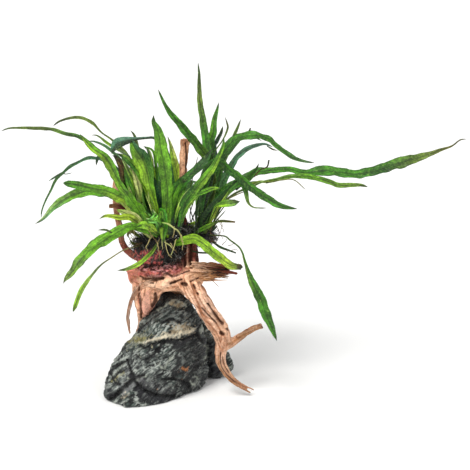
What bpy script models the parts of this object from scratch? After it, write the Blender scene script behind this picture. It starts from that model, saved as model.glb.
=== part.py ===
"""Narrow-leaf java fern growing on a driftwood stump that straddles a dark stone.

Metres, +Z up. The origin is the centre of the stone's flat resting face, +X is the
viewer's right and +Y runs away from the viewer. Lengths in this file are millimetres
until a mesh is made.

The routes of the leaves and of the wood are points (across, up, depth): across and up
are millimetres as a viewer sees them from VIEW_DISTANCE, looking down at VIEW_TILT, and
depth is how far the point lies behind the origin, along +Y.
"""

import math

import bmesh
import bpy
from mathutils import Matrix, Vector, noise
from mathutils.bvhtree import BVHTree

MM = 0.001
TOUCH_GAP = 0.3  # left at least between pieces that touch
SWELLING = 0.39  # of a piece that its neighbour is cut with

# The viewer, who looks along +Y and down by VIEW_TILT
VIEW_TILT = math.radians(15)
VIEW_DISTANCE = 1300.0
VIEW_CENTRE = (65.0, 158.0)
VIEW_RIGHT = Vector((1, 0, 0))
VIEW_UP = Vector((0, math.sin(VIEW_TILT), math.cos(VIEW_TILT)))
VIEW_AHEAD = Vector((0, math.cos(VIEW_TILT), -math.sin(VIEW_TILT)))
EYE = VIEW_CENTRE[0] * VIEW_RIGHT + VIEW_CENTRE[1] * VIEW_UP - VIEW_DISTANCE * VIEW_AHEAD

# Driving sizes
STONE_RELIEF = 3.2  # how far its ledges stand out
STONE_SUNK = 0.6  # the share of that by which the hollows between them lie deeper
STONE_STRATA = 13.0  # thickness of its layers
STONE_STRATA_SLOPE = math.radians(38)
CHIP_LENGTH = 24.0  # of the flat faces where the layers broke
CHIP_HEIGHT = 10.0
CHIP_RELIEF = 2.6
CHIP_SEED = 13.7
STONE_TRIANGLES = 2430
LEAF_THICKNESS = 1.0
LEAF_STEP = 12.5  # between the cross-sections of a leaf's solid
LEAF_LEAST_SPANS = 4
FINE_STEP = 1.5  # between the places where a leaf's route is worked out
LEAF_CLEARANCE = 0.5  # around a leaf
LEAF_NUDGE = 1.5  # how far a leaf moves in depth at each try to clear its neighbours
LEAF_TRIES = 41
WOOD_STEP = 8.0  # between the rings of a limb

WELD = 0.02  # corners nearer than this become one
CURVE_STEPS = 400  # for measuring along a curve

# Colours, linear
LEAF_BRIGHT = (0.16, 0.38, 0.02)
LEAF_YELLOW = (0.30, 0.46, 0.03)
LEAF_MID = (0.07, 0.22, 0.015)
LEAF_DARK = (0.025, 0.10, 0.012)
LEAF_BLUE = (0.10, 0.24, 0.14)
WOOD_TAN = (0.62, 0.36, 0.20)
WOOD_BROWN = (0.25, 0.11, 0.05)
STONE_DARK = (0.03, 0.038, 0.036)
ROOT_BLACK = (0.012, 0.012, 0.010)
WOOD_ROUGHNESS = 0.8
ROOT_ROUGHNESS = 0.9
LEAF_ROUGHNESS = 0.42
STONE_ROUGHNESS = 0.62

# Degrees between faces whose shared edge is sharp
WOOD_SHARP = 40
LEAF_SHARP = 60
STONE_SHARP = 25


# ---------------------------------------------------------------- shared helpers


def seen(across, up, depth):
    """The point at this depth on the sight line through (across, up)."""
    line = (
        (across - VIEW_CENTRE[0]) * VIEW_RIGHT
        + (up - VIEW_CENTRE[1]) * VIEW_UP
        + VIEW_DISTANCE * VIEW_AHEAD
    )
    return EYE + line * ((depth - EYE.y) / line.y)


def spline(points, place):
    """A Catmull-Rom curve through points, read at place from 0 to 1."""
    spans = len(points) - 1
    at = min(max(place, 0.0), 1.0) * spans
    i = min(int(at), spans - 1)
    t = at - i
    p1, p2 = points[i], points[i + 1]
    p0 = points[i - 1] if i > 0 else p1 + (p1 - p2)
    p3 = points[i + 2] if i + 2 <= spans else p2 + (p2 - p1)
    return (
        p1 * 2
        + (p2 - p0) * t
        + (p0 * 2 - p1 * 5 + p2 * 4 - p3) * t**2
        + (p1 * 3 - p0 - p2 * 3 + p3) * t**3
    ) * 0.5


def along(values, place):
    """Evenly spaced values read at place from 0 to 1, in straight runs."""
    at = min(max(place, 0.0), 1.0) * (len(values) - 1)
    i = min(int(at), len(values) - 2)
    return values[i] + (values[i + 1] - values[i]) * (at - i)


def even_points(points, step):
    """Points evenly spaced along the curve through points, ends kept."""
    fine = [spline(points, i / CURVE_STEPS) for i in range(CURVE_STEPS + 1)]
    run = [0.0]
    for a, b in zip(fine, fine[1:]):
        run.append(run[-1] + (b - a).length)
    count = max(4, round(run[-1] / step))
    result = []
    i = 0
    for k in range(count + 1):
        target = run[-1] * k / count
        while i < CURVE_STEPS - 1 and run[i + 1] < target:
            i += 1
        share = (target - run[i]) / max(run[i + 1] - run[i], 1e-9)
        result.append(fine[i].lerp(fine[i + 1], min(max(share, 0.0), 1.0)))
    return result


def directions(points):
    """The curve's direction at each of its points."""
    last = len(points) - 1
    return [
        (points[min(i + 1, last)] - points[max(i - 1, 0)]).normalized()
        for i in range(len(points))
    ]


def principled(name, colour, roughness):
    material = bpy.data.materials.new(name)
    material.use_nodes = True
    shader = material.node_tree.nodes["Principled BSDF"]
    shader.inputs["Base Color"].default_value = (*colour, 1)
    shader.inputs["Roughness"].default_value = roughness
    shader.inputs["Metallic"].default_value = 0.0
    return material


def add_piece(name, bm, colour, roughness, sharp=WOOD_SHARP):
    """Turns a mesh in millimetres into an object in metres."""
    bmesh.ops.scale(bm, vec=(MM, MM, MM), verts=bm.verts)
    bmesh.ops.recalc_face_normals(bm, faces=bm.faces)
    mesh = bpy.data.meshes.new(name)
    bm.to_mesh(mesh)
    bm.free()
    mesh.shade_smooth()
    mesh.set_sharp_from_angle(angle=math.radians(sharp))
    mesh.materials.append(principled(name, colour, roughness))
    piece = bpy.data.objects.new(name, mesh)
    bpy.context.collection.objects.link(piece)
    return piece


def apply_modifiers(piece):
    graph = bpy.context.evaluated_depsgraph_get()
    mesh = bpy.data.meshes.new_from_object(piece.evaluated_get(graph))
    piece.modifiers.clear()
    piece.data = mesh


def swollen(piece):
    """A copy of piece that stands SWELLING proud all over, to cut its neighbours with."""
    mesh = piece.data.copy()
    normals = [v.normal.copy() for v in mesh.vertices]
    for vertex, normal in zip(mesh.vertices, normals):
        vertex.co += normal * SWELLING * MM
    cutter = bpy.data.objects.new("cutter", mesh)
    bpy.context.collection.objects.link(cutter)
    return cutter


def combine(piece, other, operation):
    modifier = piece.modifiers.new("fit", "BOOLEAN")
    modifier.operation = operation
    modifier.object = other
    apply_modifiers(piece)
    bpy.data.objects.remove(other)


def keep_largest(piece):
    """Drops the crumbs that a cut leaves."""
    bm = bmesh.new()
    bm.from_mesh(piece.data)
    bmesh.ops.remove_doubles(bm, verts=bm.verts, dist=WELD * MM)
    bmesh.ops.dissolve_degenerate(bm, edges=bm.edges, dist=WELD * MM)
    bmesh.ops.triangulate(bm, faces=bm.faces)
    left = set(bm.verts)
    islands = []
    while left:
        island = set()
        front = [left.pop()]
        while front:
            vertex = front.pop()
            island.add(vertex)
            for edge in vertex.link_edges:
                other = edge.other_vert(vertex)
                if other in left:
                    left.remove(other)
                    front.append(other)
        islands.append(island)
    islands.sort(key=len)
    crumbs = [v for island in islands[:-1] for v in island]
    bmesh.ops.delete(bm, geom=crumbs, context="VERTS")
    bm.to_mesh(piece.data)
    bm.free()


def cut_from(piece, *neighbours):
    """Hollows piece where its neighbours are, so that they meet face to face."""
    for neighbour in neighbours:
        combine(piece, swollen(neighbour), "DIFFERENCE")
    keep_largest(piece)


# ---------------------------------------------------------------- the stone

# Corners of the stone's two lobes, as x, y, z. The rear lobe is set back on the right.
FRONT_LOBE = [
    (4, 2, 107.5), (-4, 18, 104), (12, 12, 103), (17, 6, 100), (25, 6, 93.5), (29, 7, 85),
    (-17, 4, 87), (-32, 0, 67), (-43, 0, 46), (-60, -2, 30), (-68, -7, 14), (-67, -18, 4),
    (32, 8, 77), (39, 12, 52), (41, 20, 18), (38, 28, -4),
    (-13, -20, 78), (-29, -36, 36), (-43, -40, 12), (-42, -39, -4), (-24, -38, -4),
    (0, -24, -4), (16, -20, 42), (14, -14, 68), (31, 8, -4), (-61, -24, -4),
    (-9, 40, 90), (10, 42, 88), (-34, 42, 48), (-54, 34, -4), (-22, 66, -4), (14, 62, 30),
]
REAR_LOBE = [
    (-6, 34, 84), (14, 26, 90), (34, 24, 68), (46, 26, 51), (59, 34, 34), (65, 40, 14),
    (63, 43, 6), (53, 40, 2), (46, 38, -4), (40, 60, -4), (56, 62, 6), (50, 66, 30),
    (18, 70, 40), (-8, 68, 40), (-24, 68, -4), (20, 72, -4), (10, 56, 76), (-27, 46, 54),
]
LOBE_DIVISIONS = 5
FAR = 400.0  # further than any corner

# The deepest cracks, in the front as the viewer sees it: route, half-width and depth
CRACKS = [
    ([(-42.4, 34), (-40, 25), (-36.5, 15)], 2.2, 2.6),
    ([(-57, 26), (-50, 30), (-42.4, 32)], 1.9, 1.8),
    ([(-36.5, 14), (-46, 5), (-58, -6)], 3.4, 3.4),
    ([(-35, 12), (-26, 3), (-14, -2), (4, -3)], 2.6, 2.8),
    ([(-30, 48), (-24, 45), (-16, 50), (-4, 52), (12, 54), (24, 58)], 2.4, 2.2),
    ([(-8, 14), (4, 14), (16, 10), (20, 4)], 2.4, 2.0),
]


def ledged_lobe(corners, cracks=()):
    """The convex hull of its corners, roughened by ledges, with cracks in its front."""
    bm = bmesh.new()
    for corner in corners:
        bm.verts.new(corner)
    bmesh.ops.convex_hull(bm, input=bm.verts)
    tree = BVHTree.FromBMesh(bm)
    bm.clear()
    heart = sum((Vector(c) for c in corners), Vector()) / len(corners)
    bmesh.ops.create_icosphere(bm, subdivisions=LOBE_DIVISIONS, radius=1)
    for vertex in bm.verts:
        way = vertex.co.normalized()
        point = tree.ray_cast(heart + way * FAR, -way)[0]
        vertex.co = point + way * (STONE_RELIEF * (ledges(point) - STONE_SUNK) + chips(point))
        if way.y < 0:
            vertex.co += VIEW_AHEAD * crack_depth(cracks, view_place(vertex.co))
    return bm


def crack_depth(cracks, place):
    """How deep the cracks are at the place (across, up)."""
    deepest = 0.0
    for route, half_width, depth in cracks:
        for start, end in zip(route, route[1:]):
            start, end, at = Vector(start), Vector(end), Vector(place)
            share = (at - start).dot(end - start) / (end - start).length_squared
            gap = (at - start.lerp(end, min(max(share, 0.0), 1.0))).length
            deepest = max(deepest, depth * (1 - (gap / half_width) ** 2))
    return deepest


def layer_place(point):
    """How far along the tilted layers the point lies, and how far up through them."""
    cosine, sine = math.cos(STONE_STRATA_SLOPE), math.sin(STONE_STRATA_SLOPE)
    return point.x * cosine + point.z * sine, point.z * cosine - point.x * sine


def chips(point):
    """The relief, in millimetres, of the flat tilted faces where the layers broke."""
    run, height = layer_place(point)
    where = Vector((run / CHIP_LENGTH, point.y / CHIP_LENGTH, height / CHIP_HEIGHT))
    centre = noise.voronoi(where)[1][0]
    lean = noise.cell_vector(centre * CHIP_SEED) - Vector((0.5, 0.5, 0.5))
    return CHIP_RELIEF * ((where - centre).dot(lean) + lean.x / 3)


def ledges(point):
    """The relief of tilted layers, broken up by lumps, from -1 to 1."""
    height = layer_place(point)[1] + 5 * noise.noise(point / 34)
    step = (height / STONE_STRATA) % 1.0
    ledge = 1.2 * step if step < 0.8 else 4.8 * (1 - step)
    strength = 0.5 + 0.5 * noise.noise(point / 21 + Vector((7, 1, 3)))
    return ledge * strength + 0.8 * noise.noise(point / 12) - 0.4


def build_stone():
    front = ledged_lobe(FRONT_LOBE, CRACKS)
    stone = add_piece("stone", front, STONE_DARK, STONE_ROUGHNESS, STONE_SHARP)
    rear = add_piece("rear lobe", ledged_lobe(REAR_LOBE), STONE_DARK, STONE_ROUGHNESS)
    combine(stone, rear, "UNION")
    below = bmesh.new()
    bmesh.ops.create_cube(below, size=FAR, matrix=Matrix.Translation((0, 0, -FAR / 2)))
    combine(stone, add_piece("ground", below, STONE_DARK, STONE_ROUGHNESS), "DIFFERENCE")
    decimate = stone.modifiers.new("fewer faces", "DECIMATE")
    decimate.ratio = STONE_TRIANGLES / sum(len(f.vertices) - 2 for f in stone.data.polygons)
    apply_modifiers(stone)
    keep_largest(stone)
    stone.data.set_sharp_from_angle(angle=math.radians(STONE_SHARP))
    return stone


# ---------------------------------------------------------------- the driftwood

# Each limb: its route as (across, up, depth), its half-widths as seen, its half-depths,
# both spaced evenly along it, its number of sides, how deep its furrows are, whether its
# two ends are cut flat, and how far its back sags over the stone.
LIMBS = {
    "wood_stump": dict(
        route=[(-38, 121, 4), (-27, 119, 6), (-9, 118.5, 10), (9, 118.5, 10), (20, 118.5, 5),
               (28, 121, -1)],
        widths=[8, 13, 15.5, 16.5, 14, 7], depths=[11, 20, 30, 31, 21, 9],
        sides=20, furrow=0.10, cut=(False, False), droop=17,
    ),
    "wood_right_leg": dict(
        route=[(14, 118, -10), (21, 105, -15), (29.5, 93, -17), (36, 83, -17), (43, 73, -15),
               (50, 63, -12), (53, 53, -10), (51.5, 43, -8), (50, 35, -8)],
        widths=[9, 9.6, 8.2, 7.6, 8.2, 9.2, 8.0, 6.6, 4.6], depths=[8, 9, 8.5, 8, 8, 8, 7.5, 6.5, 5],
        sides=12, furrow=0.13, cut=(False, False),
    ),
    "wood_upright_stick": dict(
        route=[(21, 122, -3), (19, 148, -2), (11.5, 168, -1), (11, 190, 0), (12, 208, 0), (13, 222, 0),
               (14, 240, 1), (15.3, 254, 1)],
        widths=[9, 8.6, 6.5, 4.2, 3.6, 4.1, 4.7], depths=[8, 8, 6, 4.5, 4, 4, 4.5],
        sides=10, furrow=0.10, cut=(False, True),
    ),
    "wood_cut_branch": dict(
        route=[(53, 44, -8), (60, 49, -9), (67, 54, -11), (73.5, 58.5, -13), (80, 62.5, -15),
               (87, 66, -17), (92, 67, -18)],
        widths=[4.6, 4.4, 4.0, 3.7, 3.4, 3.2, 3.2], depths=[4.6, 4.4, 4.0, 3.7, 3.4, 3.2, 3.2],
        sides=10, furrow=0.07, cut=(False, True),
    ),
    "wood_twig_left": dict(
        route=[(48, 47, -10), (47.5, 40, -11), (48, 32, -12), (52, 23, -12), (58, 15, -12),
               (66, 8, -11), (73, 3.8, -10), (80.5, 0.4, -9)],
        widths=[3.4, 3.1, 2.7, 2.2, 1.9, 1.4, 1.2, 1.0], depths=[4, 3.6, 3, 2.4, 1.9, 1.5, 1.3, 1.0],
        sides=8, furrow=0.06, cut=(False, False),
    ),
    "wood_twig_right": dict(
        route=[(52.5, 45, -7), (52.8, 38, -8), (53.4, 31, -9), (57, 23, -9), (62, 16, -9),
               (69, 10.5, -8), (76, 6.5, -7), (83.5, 3, -6)],
        widths=[3.2, 2.9, 2.4, 2.0, 1.6, 1.2, 1.1, 0.9], depths=[3.4, 3, 2.6, 2.0, 1.6, 1.3, 1.1, 0.9],
        sides=8, furrow=0.06, cut=(False, False),
    ),
    "wood_frayed_stub": dict(
        route=[(16, 120, -12), (28, 121, -17), (40, 122, -20), (51, 123, -21), (59, 123, -21)],
        widths=[6, 8, 8.4, 6.4, 3.2], depths=[6, 6.4, 6, 4.6, 2.6],
        sides=12, furrow=0.18, cut=(False, True),
    ),
    "wood_frayed_prong": dict(
        route=[(40, 119, -21), (50, 121, -23), (58, 121, -24), (67, 119.5, -25)],
        widths=[2.4, 2.2, 1.9, 1.3], depths=[2.4, 2.2, 1.8, 1.2],
        sides=8, furrow=0.1, cut=(False, True),
    ),
    "wood_outer_root": dict(
        route=[(-16, 110, -18), (-26, 108, -20), (-33, 103.5, -21), (-37.5, 95, -21), (-40.5, 86, -20),
               (-42.2, 78, -20), (-41.6, 69, -20), (-40.3, 59.5, -20)],
        widths=[4, 3.2, 2.7, 2.3, 2.1, 1.9, 1.6, 1.1], depths=[4, 3.2, 2.7, 2.3, 2.1, 1.9, 1.6, 1.1],
        sides=8, furrow=0.06, cut=(False, False),
    ),
    "wood_back_root": dict(
        route=[(-33, 121, 4), (-33.5, 106, 8), (-32.5, 93, 12), (-29.5, 80, 17), (-29, 66, 30),
               (-36, 52, 46), (-46, 36, 54)],
        widths=[4.4, 3.8, 3.2, 3.0, 3.0, 2.6, 1.8], depths=[5, 4.4, 3.8, 3.4, 3.0, 2.6, 1.8],
        sides=8, furrow=0.08, cut=(False, False),
    ),
    "wood_inner_root": dict(
        route=[(-19, 112, -2), (-20, 102, -1), (-22.5, 92, 3), (-24.5, 82, 9), (-21, 73, 20)],
        widths=[12, 10.5, 7.2, 3.8, 2.6], depths=[10, 9, 6, 3.4, 2.6],
        sides=8, furrow=0.08, cut=(False, False),
    ),
    "wood_left_arm": dict(
        route=[(-24, 131, 2), (-33, 136, 4), (-42, 142, 5), (-48, 150, 6), (-49, 161, 7), (-53, 178, 8),
               (-54, 192, 9), (-54, 207, 10), (-51, 224, 12)],
        widths=[4.2, 3.9, 3.6, 3.4, 3.2, 3.3, 3.8, 3.2, 2.6],
        depths=[4.2, 4, 3.6, 3.4, 3.2, 3.3, 3.8, 3.2, 2.6],
        sides=8, furrow=0.10, cut=(False, True),
    ),
    "wood_arm_stub": dict(
        route=[(-39, 181.5, 3), (-46, 184.5, 3), (-53, 187, 3), (-61, 187, 2)],
        widths=[2.8, 3.4, 2.9, 2.2], depths=[2.8, 3.2, 2.8, 2.2],
        sides=8, furrow=0.08, cut=(True, True),
    ),
}


CUT_BULGE = 0.08  # of an end that is cut flat, as a share of its half-width
ROUND_BULGE = 0.6
LUMP_SIZE = 9.0


def limb_mesh(route, widths, depths, sides, furrow, cut, droop=0.0):
    """A lumpy, furrowed limb along its route, closed at both ends. Its back may droop."""
    points = even_points([seen(*p) for p in route], WOOD_STEP)
    ways = directions(points)
    rings = []
    last = len(points) - 1
    bm = bmesh.new()
    for i, (point, way) in enumerate(zip(points, ways)):
        place = i / last
        back = (VIEW_AHEAD - way * VIEW_AHEAD.dot(way)).normalized()
        side = way.cross(back).normalized()
        ring = []
        for k in range(sides):
            turn = 2 * math.pi * k / sides
            out = side * math.cos(turn) * along(widths, place)
            out += back * math.sin(turn) * along(depths, place)
            lump = noise.noise((point + out) / LUMP_SIZE)
            groove = math.cos(3 * turn + 0.4 * i) + math.cos(5 * turn + 1 - 0.24 * i)
            corner = point + out * (1 + furrow * (0.5 * groove + 1.1 * lump))
            corner.z -= droop * max(math.sin(turn), 0.0) * along(depths, place) / max(depths)
            ring.append(bm.verts.new(corner))
        rings.append(ring)
    for near, far in zip(rings, rings[1:]):
        for k in range(sides):
            nxt = (k + 1) % sides
            bm.faces.new((near[k], near[nxt], far[nxt], far[k]))
    for ring, point, way, flat in (
        (rings[0], points[0], -ways[0], cut[0]),
        (rings[-1], points[-1], ways[-1], cut[1]),
    ):
        size = (ring[0].co - point).length
        tip = bm.verts.new(point + way * (CUT_BULGE if flat else ROUND_BULGE) * size)
        for k in range(sides):
            bm.faces.new((ring[k], ring[(k + 1) % sides], tip))
    return bm


def build_limb(name, colour, *neighbours):
    limb = add_piece(name, limb_mesh(**LIMBS[name]), colour, WOOD_ROUGHNESS)
    if neighbours:
        cut_from(limb, *neighbours)
    return limb


def build_wood(stone):
    wood = {}

    def limb(name, colour, *neighbours):
        fitted = [stone] + [wood[n] for n in neighbours]
        wood[name] = build_limb(name, colour, *fitted)

    limb("wood_stump", WOOD_TAN)
    limb("wood_right_leg", WOOD_TAN, "wood_stump")
    limb("wood_upright_stick", WOOD_BROWN, "wood_stump", "wood_right_leg")
    limb("wood_cut_branch", WOOD_TAN, "wood_right_leg")
    limb("wood_twig_left", WOOD_TAN, "wood_right_leg", "wood_cut_branch")
    limb("wood_twig_right", WOOD_TAN, "wood_right_leg", "wood_cut_branch", "wood_twig_left")
    stub = build_limb("wood_frayed_stub", WOOD_BROWN)
    combine(stub, build_limb("wood_frayed_prong", WOOD_BROWN), "UNION")
    cut_from(stub, wood["wood_stump"], wood["wood_right_leg"], wood["wood_upright_stick"])
    wood["wood_frayed_stub"] = stub
    limb("wood_outer_root", WOOD_TAN, "wood_stump")
    limb("wood_back_root", WOOD_TAN, "wood_stump")
    limb("wood_inner_root", WOOD_TAN, "wood_stump", "wood_back_root", "wood_outer_root")
    limb("wood_left_arm", WOOD_BROWN, "wood_stump")
    limb("wood_arm_stub", WOOD_BROWN, "wood_left_arm")
    return wood


# ---------------------------------------------------------------- the rhizomes

# Centre as x, y, z, half-sizes, and how lumpy. Each carries one clump of leaves.
RHIZOMES = {
    "rhizome_left": dict(centre=(-11, 0, 150), sizes=(23, 17, 19), lumps=4.0),
    "rhizome_right": dict(centre=(33, 9, 160), sizes=(14, 11, 9), lumps=2.4),
}


def build_rhizome(name, neighbours):
    shape = RHIZOMES[name]
    bm = bmesh.new()
    bmesh.ops.create_icosphere(bm, subdivisions=3, radius=1)
    for vertex in bm.verts:
        way = vertex.co.copy()
        out = Vector(s * w for s, w in zip(shape["sizes"], way))
        point = Vector(shape["centre"]) + out
        vertex.co = point + way * shape["lumps"] * noise.noise(point / LUMP_SIZE)
    rhizome = add_piece(name, bm, ROOT_BLACK, ROOT_ROUGHNESS)
    cut_from(rhizome, *neighbours)
    return rhizome


# ---------------------------------------------------------------- the leaves

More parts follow.
